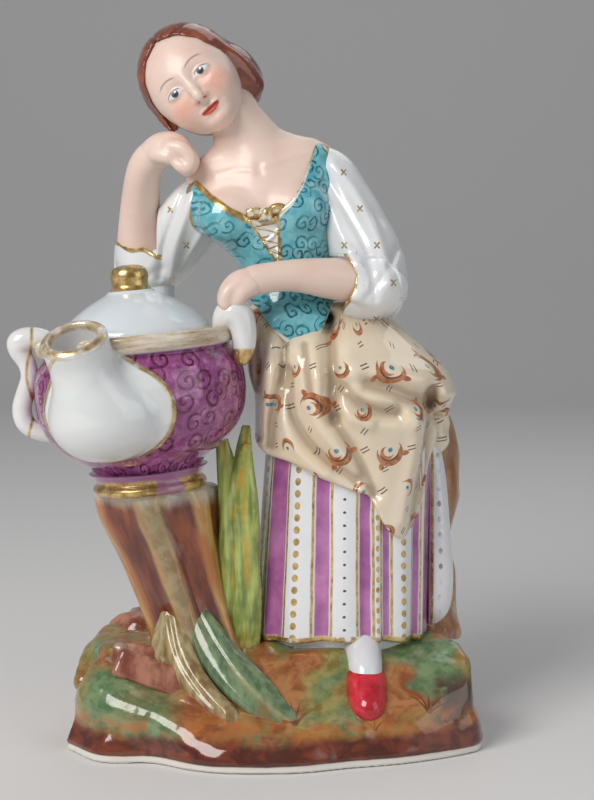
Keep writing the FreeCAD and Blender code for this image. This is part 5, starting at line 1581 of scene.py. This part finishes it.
def block_rock_shape(p):
    x, y, z = p
    slab = brick(p, (-31.5, -19.0, 18.4), (11.5, 5.6, 3.6), turned_axes(0.36, -0.30), 1.3)
    step = brick(p, (-37.5, -13.5, 21.6), (6.5, 5.0, 4.0), turned_axes(0.10, -0.2), 1.6)
    return blend(slab, step, 1.2) - 0.25 * ripple(x, y, z, 7.0, 9)


def back_rock_shape(p):
    x, y, z = p
    rock = blend(egg(p, (-38.5, 9, 22.5), (9.5, 9.5, 7.5)), egg(p, (-30, 17, 22.5), (9, 8, 7)), 2.0)
    rock = blend(rock, egg(p, (-43.5, 3, 19.5), (6.0, 7.0, 6.5)), 2.0)
    return rock - 0.9 * ripple(x, y, z, 10.0, 11) - 0.3 * ripple(x, y, z, 4.0, 12)


def seat_shape(p):
    x, y, z = p
    rock = stack(p, [(20, 25, 17, 26.0, 15.5), (34, 25, 17.5, 24.0, 14.5), (50, 25, 18, 23.6, 13.8),
            (62, 25.5, 18, 24.6, 13.6), (72, 25.8, 18, 25.0, 13.4), (82, 24.5, 18, 23.6, 12.6),
                     (88, 23, 18, 21, 11.4), (93, 21, 18, 16, 9)])
    facet = np.arctan2(x - 25, -(y - 18))
    return rock - 0.8 * np.abs(np.sin(facet * 4.5 + z * 0.03)) - 0.9 * ripple(x, y, z, 16.0,
            14) - 0.3 * ripple(x, y, z, 6.0, 15) + 1.0


block_rock = sculpt("block_rock_glossy", block_rock_shape, (-46, -28, 10), (-18, -6, 30), 0.45)
back_rock = sculpt("back_rock_rough", back_rock_shape, (-51, -6, 12), (-19, 27, 32), 0.55)
seat = sculpt("seat_rock_rough", seat_shape, (-4, 1, 17), (54, 35, 96), 0.66)


def stone_glaze_of(name, dark, light, grey):
    material, shader, place = glaze_tree(name)
    runs = place.move("MULTIPLY", (1.0, 1.0, 0.45)).cloud(5.0, 4, 0.62, 2)
    body = colour(place, *light).over(colour(place, *dark), runs.rise(0.36, 0.64))
    body = colour(place, *grey).over(body, place.cloud(11.0, 3, 0.6, 6).rise(0.58, 0.70) * 0.7)
    return fire(material, shader, place, body, ripple_size=5.0, bump=0.016, speck=0.3)


rock_glaze = stone_glaze_of("rock_glaze", (0.22, 0.06, 0.035), (0.50, 0.22, 0.14), (0.55, 0.40, 0.32))
seat_glaze = stone_glaze_of("seat_glaze", (0.30, 0.12, 0.05), (0.52, 0.28, 0.13), (0.50, 0.50, 0.44))
dress(block_rock, rock_glaze, "figurine", "rock_glaze", "block_rock")
dress(back_rock, rock_glaze, "figurine", "rock_glaze", "back_rock")
dress(seat, seat_glaze, "figurine", "seat_glaze", "seat_rock")

# %% [markdown]
# ## Tree stump, root, leaf and grass
# The stump is a leaning stack of ovals with hollowed faces between upright ribs.  The paint follows the same
# ribs: mahogany in the hollows, yellow and grey-green on the ribs.  The leaf and the grass blades are limbs
# pressed flat, with a groove down the middle.

# %% Stump and root
RIBS = smooth_path([(-3.3, 0.6), (-2.8, -0.8), (-2.3, 0.9), (-1.85, -0.9), (-1.42, 1.0), (-1.12, -0.2),
        (-0.78, -1.1), (-0.42, -0.9), (-0.16, 0.7), (0.08, 0.8), (0.30, -0.7), (0.62, -1.0),
                    (0.92, 0.7), (1.3, -0.3), (1.6, 0.8), (2.0, -0.9), (2.5, 0.9), (2.98, -0.4),
                    (3.3, 0.6)], 5)
STUMP = np.array([(14, -19.0, -8.5, 17.5, 15.5), (20, -20.2, -8.0, 14.6, 13.4),
        (26, -21.8, -7.6, 12.2, 12.2), (34, -24.2, -7.0, 11.9, 12.2), (42, -26.6, -6.6, 13.0, 12.9),
        (50, -28.8, -6.3, 14.4, 13.8),
                  (58, -31.2, -6.2, 16.0, 14.8), (64, -32.2, -6.4, 16.4, 15.0),
                  (68.4, -32.6, -6.8, 16.2, 14.8)])


def round_stump(p):
    """Angle round the leaning stump, 0 at the front."""
    x, y, z = p
    cx, cy = np.interp(z, STUMP[:, 0], STUMP[:, 1]), np.interp(z, STUMP[:, 0], STUMP[:, 2])
    return np.arctan2(x - cx, -(y - cy)) + 0.004 * (z - 45)


def stump_shape(p):
    x, y, z = p
    wood = stack(p, STUMP)
    rib = np.interp(round_stump(p), RIBS[:, 0], RIBS[:, 1])
    wood = wood - 1.15 * rib * np.interp(z, [18, 26, 62, 67], [1.3, 1.0, 1.0, 0.35]) + 0.55
    wood = wood - 0.35 * ripple(x * 1.6, y * 1.6, z * 0.35, 7.0, 21)
    top = (z - 67.8 - 0.5 * ripple(x, y, 0 * x, 9.0, 22))
    return overlap(wood, top, 1.6)


def stump_paint(p):
    turn = round_stump(p)
    return {"turn": turn, "rib": np.interp(turn, RIBS[:, 0], RIBS[:, 1])}


def root_shape(p):
    x, y, z = p
    root = limb(p, [(-28.2, -11.5, 36, 2.6), (-27.2, -15.5, 30, 3.3), (-25.2, -19.2, 24.4, 3.2),
            (-21.8, -23.4, 18.8, 2.9), (-17.0, -27.4, 14.2, 2.4), (-11.5, -31.0, 10.8, 1.7)], 8, 1.6)
    other = limb(p, [(-30.0, -12.0, 31, 2.2), (-31.0, -15.2, 26.0, 2.4), (-29.4, -18.6, 22.0, 2.0)], 4, 0.8)
    return blend(root, other, 1.6) - stroke(x, z, [(-28.6, 34), (-26.0, 25), (-20.6, 17.6), (-15, 12.6)],
            0.8, -0.5) - 0.1 * ripple(x, y, z, 9.0, 23)


def tilted(p, angle):
    """The place turned about x, so that a leaf on a slope lies flat in it."""
    c, s = math.cos(angle), math.sin(angle)
    return p[0], p[1] * c + p[2] * s, p[2] * c - p[1] * s


LEAF_LIE = -math.radians(48)
LEAF = [(-21.8, -14.6, 35.5, 0.7), (-20.2, -16.8, 32.0, 3.0), (-16.2, -20.4, 25.4, 4.3),
        (-10.6, -24.6, 18.6, 4.2), (-4.0, -28.6, 13.2, 3.0), (1.0, -31.0, 10.2, 1.5),
        (4.4, -32.6, 8.4, 0.5)]


def leaf_shape(p):
    q = tilted(p, LEAF_LIE)
    path = [(*np.array(tilted(s[:3], LEAF_LIE)), s[3]) for s in LEAF]
    blade = limb(q, path, 6, 1.6, (1, 0.55))
    spine = [(s[0], s[2]) for s in path]
    blade = blade - stroke(q[0], q[2], spine, 0.7, -0.55)
    second = [(-17.5, -18.0, 28.5, 1.0), (-12.0, -20.5, 23.6, 2.4), (-5.0, -24.6, 17.6, 2.6),
            (0.6, -28.4, 12.8, 1.6), (4.8, -31.0, 9.6, 0.6)]
    other = limb(q, [(*np.array(tilted(s[:3], LEAF_LIE)), s[3]) for s in second], 5, 1.4, (1, 0.6))
    return blend(blade, other, 0.7)


def leaf_paint(p):
    q = tilted(p, LEAF_LIE)
    spine = [(s[0], tilted(s[:3], LEAF_LIE)[2]) for s in LEAF]
    return {"spine": stroke(q[0], q[2], spine, 1.6, 1.0)}


BLADES = [
    [(-13.6, -9.4, 20, 2.8), (-12.4, -10.4, 38, 3.4), (-11.8, -10.8, 54, 3.6), (-13.2, -10.4, 68, 2.8),
     (-14.8, -9.6, 77, 1.5), (-15.4, -9.0, 81.5, 0.6)],
    [(-10.0, -10.6, 20, 2.8), (-9.0, -11.8, 42, 3.4), (-9.0, -12.2, 60, 3.4), (-9.4, -11.6, 74, 2.2),
     (-8.6, -10.8, 84.0, 0.6)],
    [(-15.6, -8.0, 20, 2.6), (-14.8, -8.8, 40, 3.0), (-13.0, -10.4, 54, 2.6), (-10.8, -12.4, 68, 2.0),
     (-8.0, -12.8, 79.5, 0.7)],
    [(-8.0, -9.4, 20, 2.2), (-7.6, -11.2, 36, 2.6), (-8.2, -13.2, 50, 2.0), (-9.8, -13.6, 62, 0.8)],
]


def grass_shape(p):
    x, _, z = p
    total = limb(p, [(-11.0, -7.0, 18, 4.4), (-11.0, -7.0, 50, 4.4), (-11.5, -8.0, 72, 2.4)], 3, 1.0)
    total = blend(total, limb(p, [(-12.4, -8.4, 54, 3.2), (-11.8, -9.4, 66, 2.4), (-11.4, -10.0, 73, 1.0)],
            3, 1.0), 1.0)
    for blade_points in BLADES:
        blade = limb(p, blade_points, 5, 1.2, (1, 0.62))
        blade = blade - stroke(x, z, [(b[0], b[2]) for b in blade_points], 0.6, -0.42, 4)
        total = blend(total, blade, 0.55)
    return total


def grass_paint(p):
    x, _, z = p
    spine = sum(stroke(x, z, [(b[0], b[2]) for b in blade], 0.8, 1.0, 4) for blade in BLADES)
    return {"spine": np.clip(spine, 0, 1)}


stump = sculpt("tree_stump_ribbed", stump_shape, (-51, -26, 12), (0, 12, 71), 0.52, stump_paint)
root = sculpt("stump_root_gnarled", root_shape, (-35, -33, 7), (-8, -7, 40), 0.40)
leaf = sculpt("broad_leaf_veined", leaf_shape, (-27, -36, 5), (8, -9, 39), 0.36, leaf_paint)
grass = sculpt("grass_blades_flat", grass_shape, (-21, -18, 16), (-3, -1, 86), 0.38, grass_paint)


def stump_glaze_of():
    material, shader, place = glaze_tree("stump_glaze")
    x, y, z = place.parts()
    turn, rib = value_of(place, "turn"), value_of(place, "rib")
    grain = place.node("ShaderNodeCombineXYZ", (), {0: turn * 9.0, 1: z * 0.20, 2: 0.0})
    runs = grain.cloud(3.0, 4, 0.55, 2)
    bark = colour(place, 0.30, 0.075, 0.020).over(colour(place, 0.11, 0.016, 0.009), runs.rise(0.36, 0.66))
    amber = colour(place, 0.46, 0.17, 0.04).over(colour(place, 0.62, 0.38, 0.13), runs.rise(0.34, 0.62))
    moss = colour(place, 0.22, 0.17, 0.09).over(colour(place, 0.36, 0.30, 0.17),
            place.cloud(3.0, 4, 0.65, 4).rise(0.36, 0.62))
    hollow = (rib + (runs - 0.5) * 1.6).rise(0.40, -0.55)
    body = bark.over(amber, hollow * (turn + 0.15).size().rise(2.2, 1.9))
    centre = turn.band(-0.02, 0.18, 0.16)
    body = moss.over(body, (centre + grain.cloud(5.0, 3, 0.6, 8).rise(0.60, 0.74) * 0.5).low(1.0) * 0.85)
    rust = colour(place, 0.42, 0.12, 0.03)
    body = rust.over(body, turn.rise(-0.9, -1.5) * runs.rise(0.45, 0.60) * 0.7)
    top = colour(place, 0.60, 0.50, 0.30).over(colour(place, 0.66, 0.62, 0.54),
            place.cloud(4.0, 3, 0.6, 5).rise(0.4, 0.6))
    body = top.over(body, (z + (runs - 0.5) * 8.0).rise(61.5, 65.5) * 0.85)
    foot = colour(place, 0.34, 0.13, 0.05)
    body = foot.over(body, (z + (runs - 0.5) * 8.0).rise(27, 20) * 0.6)
    return fire(material, shader, place, body, ripple_size=5.0, bump=0.016, speck=0.3)


def leafy_glaze_of(name, deep, fresh, edge, dark):
    material, shader, place = glaze_tree(name)
    spine = value_of(place, "spine")
    runs = place.move("MULTIPLY", (1.2, 1.2, 0.16)).cloud(2.4, 3, 0.55, 2)
    body = colour(place, *fresh).over(colour(place, *deep), runs.rise(0.34, 0.66))
    body = colour(place, *edge).over(body, (spine.rise(0.45, 1.0)
            * place.cloud(9.0, 2, 0.5, 5).rise(0.40, 0.62)) * 0.8)
    body = colour(place, *dark).over(body, place.move("MULTIPLY", (1.0, 1.0, 0.5)).cloud(7.0, 3, 0.55,
            9).rise(0.52, 0.72) * 0.75)
    return fire(material, shader, place, body, ripple_size=4.0, bump=0.014, speck=0.2)


stump_glaze = stump_glaze_of()
leaf_glaze = leafy_glaze_of("leaf_glaze", (0.09, 0.16, 0.075), (0.22, 0.31, 0.17), (0.42, 0.40, 0.20),
        (0.28, 0.16, 0.06))
grass_glaze = leafy_glaze_of("grass_glaze", (0.18, 0.25, 0.045), (0.50, 0.60, 0.16), (0.66, 0.42, 0.05),
        (0.06, 0.08, 0.02))
root_glaze = leafy_glaze_of("root_glaze", (0.26, 0.17, 0.06), (0.50, 0.42, 0.22), (0.60, 0.56, 0.42),
        (0.20, 0.08, 0.03))
dress(stump, stump_glaze, "figurine", "stump_glaze", "tree_stump")
dress(root, root_glaze, "figurine", "stump_glaze", "stump_root")
dress(leaf, leaf_glaze, "figurine", "leaf_glaze", "broad_leaf")
dress(grass, grass_glaze, "figurine", "grass_glaze", "grass_blades")

# %% [markdown]
# ## Spout, handles, post and foot ring
# The spout swells out of a leaf-shaped lobe on the belly and opens in a tilted mouth with a gilt lip.  Its
# bore really goes in, so the shadow inside is a true one.

# %% The white fittings of the pot
MOUTH = np.array((-49.4, -39.4, 107.2))
MOUTH_WAY = np.array((-0.17, -0.47, 0.866))
MOUTH_WAY = MOUTH_WAY / np.linalg.norm(MOUTH_WAY)


def to_mouth(p):
    """Distance from the mouth's axis, and height above the mouth's plane."""
    x, y, z = p[0] - MOUTH[0], p[1] - MOUTH[1], p[2] - MOUTH[2]
    up = x * MOUTH_WAY[0] + y * MOUTH_WAY[1] + z * MOUTH_WAY[2]
    return np.sqrt(np.maximum(x * x + y * y + z * z - up * up, 1e-6)), up


def spout_outline(x, z):
    """Distance outside the leaf-shaped lobe, drawn in the front plane."""
    lobe = blend(np.hypot((x + 42.0) / 14.6, (z - 87.6) / 11.4) * 12 - 12,
            np.hypot((x + 37.0) / 10.6, (z - 89.2) / 9.4) * 9.4 - 9.4, 3.0)
    return blend(lobe, np.hypot((x + 45.0) / 8.6, (z - 96.0) / 8.0) * 8 - 8, 4.0)


def spout_shape(p):
    x, y, z = p
    bulb = egg(p, (-43.2, -32.5, 86.8), (13.4, 11.0, 10.6))
    bulb = blend(bulb, egg(p, (-38.6, -31.5, 87.6), (10.6, 9.6, 9.4)), 3.0)
    tube = limb(p, [(-44.2, -34.0, 89, 9.6), (-46.4, -35.6, 96, 8.0), (-47.9, -37.2, 102, 7.4),
            (-49.2, -39.2, 106.6, 7.5), (-50.2, -41.8, 111.5, 7.6)], 4, 1.5)
    body = blend(bulb, tube, 4.5)
    a, b, c = from_pot(p)
    belly = np.sqrt(a * a + b * b + 1e-6) - np.interp(c, [h for r, h in BELLY_LINE],
            [r for r, h in BELLY_LINE])
    flange = overlap(spout_outline(x + 0.8, z - 0.4) - 1.6, np.abs(belly * 0.9) - 1.5, 1.2)
    body = blend(body, np.maximum(flange, y + 12), 1.4)
    out, up = to_mouth(p)
    body = overlap(body, up, 0.5)
    lip = np.sqrt((out - 6.75) ** 2 + (up + 0.5) ** 2) - 1.15
    body = blend(body, lip, 0.6)
    bore = limb(p, [(-51.0, -43.6, 115, 5.7), (-49.2, -39.2, 106.6, 5.6), (-47.6, -36.8, 101, 5.0),
            (-45.6, -34.6, 94, 4.6), (-44.5, -33.0, 88, 4.0)], 3, 1.0)
    body = carve(body, bore, 0.7)
    return carve(body, belly + 1.6, 0.3)


def spout_paint(p):
    x, y, z = p
    out, up = to_mouth(p)
    lip = np.sqrt((out - 7.0) ** 2 + (up + 0.6) ** 2)
    edge = np.abs(spout_outline(x + 0.8, z - 0.4) - 1.2)
    return {"lip": lip, "edge": np.where((y < -14) & (z < 103), edge, 9.0)}


def handle_left_shape(p):
    handle = limb(p, [(-59.6, -11.0, 104.6, 2.4), (-63.0, -11.4, 105.6, 2.6), (-66.6, -11.6, 104.9, 2.9),
            (-67.4, -11.6, 102.6, 2.3), (-65.4, -11.5, 99.2, 2.0), (-64.8, -11.5, 95.6, 1.9),
                      (-66.0, -11.5, 91.2, 2.1), (-66.9, -11.5, 87.2, 2.2), (-66.0, -11.5, 83.6, 2.1),
                      (-63.0, -11.3, 81.4, 1.9), (-58.6, -11.0, 80.2, 1.6)], 4, 0.9)
    return blend(handle, egg(p, (-67.3, -11.6, 104.4), (3.0, 2.8, 2.9)), 1.0)


def handle_right_shape(p):
    handle = limb(p, [(-14.4, -15.0, 109.4, 2.6), (-13.2, -15.8, 111.6, 3.2), (-11.6, -16.4, 112.6, 3.5),
            (-9.8, -16.8, 110.8, 3.2), (-9.0, -17.0, 107.0, 2.8), (-9.1, -17.0, 103.4, 2.4),
            (-9.7, -17.0, 100.6, 1.6)], 4, 1.0)
    return handle


def post_shape(p):
    x, y, z = p
    return limb(p, [(-34.8, 18.6, 124, 5.4), (-34.8, 17.4, 116, 4.9), (-34.8, 16.8, 109.5, 5.3),
            (-34.8, 16.8, 106.0, 5.8)], 4, 1.2) - 0.2 * ripple(x, y, z, 6.0, 31)


def handle_paint(p):
    x, y, z = p
    return {"inner": x + 65.0 + 0.8 * np.sin((z - 92) * 0.33)}


spout = sculpt("pot_spout_white", spout_shape, (-61, -49, 72), (-22, -14, 113), 0.46, spout_paint)
left_handle = sculpt("pot_handle_left_white", handle_left_shape, (-72, -16, 77), (-55, -7, 110), 0.36,
        handle_paint)
right_handle = sculpt("pot_handle_right_white", handle_right_shape, (-23, -21, 98), (-5, -11, 118), 0.36,
        handle_paint)
post = sculpt("elbow_rest_white", post_shape, (-42, 10, 101), (-28, 24, 130), 0.46, handle_paint)


def spout_gold(place):
    lip, edge = value_of(place, "lip"), value_of(place, "edge")
    return (lip.rise(1.6, 1.0) * place.cloud(5.0, 2, 0.6, 9).rise(0.30, 0.55)).high(edge.rise(0.75, 0.30)
            * place.cloud(4.0, 2, 0.5, 6).rise(0.30, 0.50) * 0.8)


def handle_gold(place):
    x, y, z = place.parts()
    inner = value_of(place, "inner")
    return (inner.band(0.6, 0.3, 0.35) * x.rise(-58, -60) * 0.9).high(z.rise(103.8, 102.8)
            * (x + 10).size().rise(6, 5))


spout_glaze = white_ware("spout_glaze", (0.78, 0.80, 0.80), spout_gold)
handle_glaze = white_ware("handle_glaze", (0.82, 0.82, 0.81), handle_gold)
dress(spout, spout_glaze, "figurine", "white_glaze", "pot_spout")
dress(left_handle, handle_glaze, "figurine", "white_glaze", "pot_handle_left")
dress(right_handle, handle_glaze, "figurine", "white_glaze", "pot_handle_right")
dress(post, plain_white, "figurine", "white_glaze", "elbow_rest")

ring_outline = np.vstack([[(0, -1.2), (13.4, -1.2)], eased([(14.3, -0.9), (14.9, 0.0), (14.7, 1.0),
        (14.1, 1.6), (13.9, 2.3), (14.4, 3.2), (15.0, 4.0), (15.6, 4.6)], 4), [(0, 4.6)]])


def ring_gold(place):
    x, y, h = value_of(place, "turned", vector=True).parts()
    angle = place.sum("ARCTAN2", x, -y)
    dabs = ((angle * 3.2).sin() * 0.5 + place.cloud(2.0, 2, 0.5, 3)).rise(0.72, 0.90)
    return h.rise(3.3, 2.7) * (1 - dabs * 0.85)


band_glaze = white_ware("gilt_band", (0.40, 0.13, 0.33), ring_gold)
dress(turned_piece("pot_foot_ring_gilt", ring_outline, band_glaze, 120), band_glaze, "figurine",
      "gilt_band", "pot_foot_ring")

# %% [markdown]
# ## Leg and slipper

# %% Leg and slipper
def leg_shape(p):
    return limb(p, [(21.6, -8.5, 27.0, 4.6), (21.6, -12.6, 25.4, 4.6), (21.9, -16.6, 23.4, 4.2),
            (22.2, -19.8, 21.4, 3.9), (22.3, -22.6, 18.6, 3.7)], 4, 1.0)


def shoe_shape(p):
    x, y, z = p
    shoe = limb(p, [(22.2, -17.8, 19.4, 4.5), (22.2, -21.4, 17.4, 4.9), (22.3, -24.8, 15.2, 4.6),
            (22.5, -27.6, 13.6, 4.0), (22.6, -29.4, 12.8, 3.2)], 4, 1.0)
    shoe = blend(shoe, limb(p, [(22.2, -17.0, 16.6, 3.6), (22.3, -23.4, 13.6, 3.8),
            (22.5, -28.6, 11.4, 2.8)], 3, 1.0), 1.2)
    throat = (y + 22.6) * 0.72 + (z - 20.0) * 0.70 - 0.35 * np.abs(x - 22.2)
    return overlap(shoe, throat, 0.5)


leg = sculpt("leg_stocking", leg_shape, (15, -28, 13), (28, -3, 40), 0.36)
shoe = sculpt("shoe_crimson", shoe_shape, (16, -36, 5), (29, -12, 26), 0.32)


def shoe_glaze_of():
    material, shader, place = glaze_tree("shoe_glaze")
    body = colour(place, 0.46, 0.008, 0.018).over(colour(place, 0.74, 0.035, 0.06),
            place.cloud(5.0, 3, 0.6, 2).rise(0.38, 0.66))
    return fire(material, shader, place, body, ripple_size=4.0, bump=0.010, speck=0.1)


shoe_glaze = shoe_glaze_of()
stocking_glaze = white_ware("stocking_glaze", (0.80, 0.81, 0.83))
dress(leg, stocking_glaze, "figurine", "stocking_glaze", "leg")
dress(shoe, shoe_glaze, "figurine", "shoe_glaze", "shoe")
print("pieces:", len(PIECES), "quads in all:", sum(len(piece.data.polygons) for piece in PIECES.values()))

# %% [markdown]
# ## Table, light and camera
# A pale matt table and three soft lamps, as for a catalogue: a large one high on the left for the long
# highlights, a weaker one on the right, and one behind to edge the white porcelain.

# %% The studio
def pale(name, shade):
    material = bpy.data.materials.new(name)
    material.use_nodes = True
    shader = material.node_tree.nodes["Principled BSDF"]
    shader.inputs["Base Color"].default_value = (*shade, 1)
    shader.inputs["Roughness"].default_value = 0.75
    return material


def studio_floor():
    reach, steps = 1.6, 24
    outline = [(-0.6, 0.0), (0.9, 0.0)]
    outline += [(0.9 + 0.5 * math.sin(a * math.pi / 2 / steps),
            0.5 - 0.5 * math.cos(a * math.pi / 2 / steps)) for a in range(1, steps + 1)]
    outline.append((1.4, 1.8))
    verts = [(side * reach, y, z - 0.0002) for side in (-1, 1) for y, z in outline]
    n = len(outline)
    mesh = bpy.data.meshes.new("studio_floor")
    mesh.from_pydata(verts, [], [(i, i + n, i + n + 1, i + 1) for i in range(n - 1)])
    mesh.shade_smooth()
    mesh.materials.append(pale("studio_paper", (0.82, 0.81, 0.80)))
    floor = bpy.data.objects.new("studio_floor", mesh)
    bpy.context.scene.collection.objects.link(floor)


def lamp(name, place, target, size, power, tint=(1, 1, 1)):
    light = bpy.data.lights.new(name, "AREA")
    light.shape, light.size, light.size_y = "RECTANGLE", size[0], size[1]
    light.energy, light.color = power, tint
    thing = bpy.data.objects.new(name, light)
    thing.location = place
    way = np.array(target) - np.array(place)
    pitch = math.atan2(math.hypot(way[0], way[1]), -way[2])
    thing.rotation_euler = (pitch, 0, math.atan2(way[1], way[0]) - math.pi / 2)
    bpy.context.scene.collection.objects.link(thing)


studio_floor()
lamp("window", (-0.42, -0.48, 0.52), (0, 0, 0.10), (0.40, 0.46), 4.2, (1.0, 0.98, 0.95))
lamp("fill", (0.60, -0.40, 0.30), (0, 0, 0.09), (0.46, 0.56), 0.8, (0.96, 0.98, 1.0))
lamp("back", (0.20, 0.45, 0.70), (0, 0, 0.12), (0.60, 0.40), 0.7)
world = bpy.data.worlds.new("studio_air")
world.use_nodes = True
world.node_tree.nodes["Background"].inputs[0].default_value = (0.92, 0.95, 1.0, 1)
world.node_tree.nodes["Background"].inputs[1].default_value = 0.24
bpy.context.scene.world = world
bpy.context.scene.view_settings.view_transform = "Standard"

camera = bpy.data.cameras.new("camera")
camera.lens, camera.sensor_width, camera.sensor_fit = 71.17, 36.0, "AUTO"
camera.clip_start, camera.clip_end = 0.02, 10
eye = bpy.data.objects.new("camera", camera)
eye.location = (4.51 * MM, -420 * MM, 128.16 * MM)
eye.rotation_euler = (math.pi / 2 - 0.094, 0, 0)
bpy.context.scene.collection.objects.link(eye)
bpy.context.scene.camera = eye

# %% Measure
print("solid model:", [[round(c, 4) for c in v] for v in cad_box])
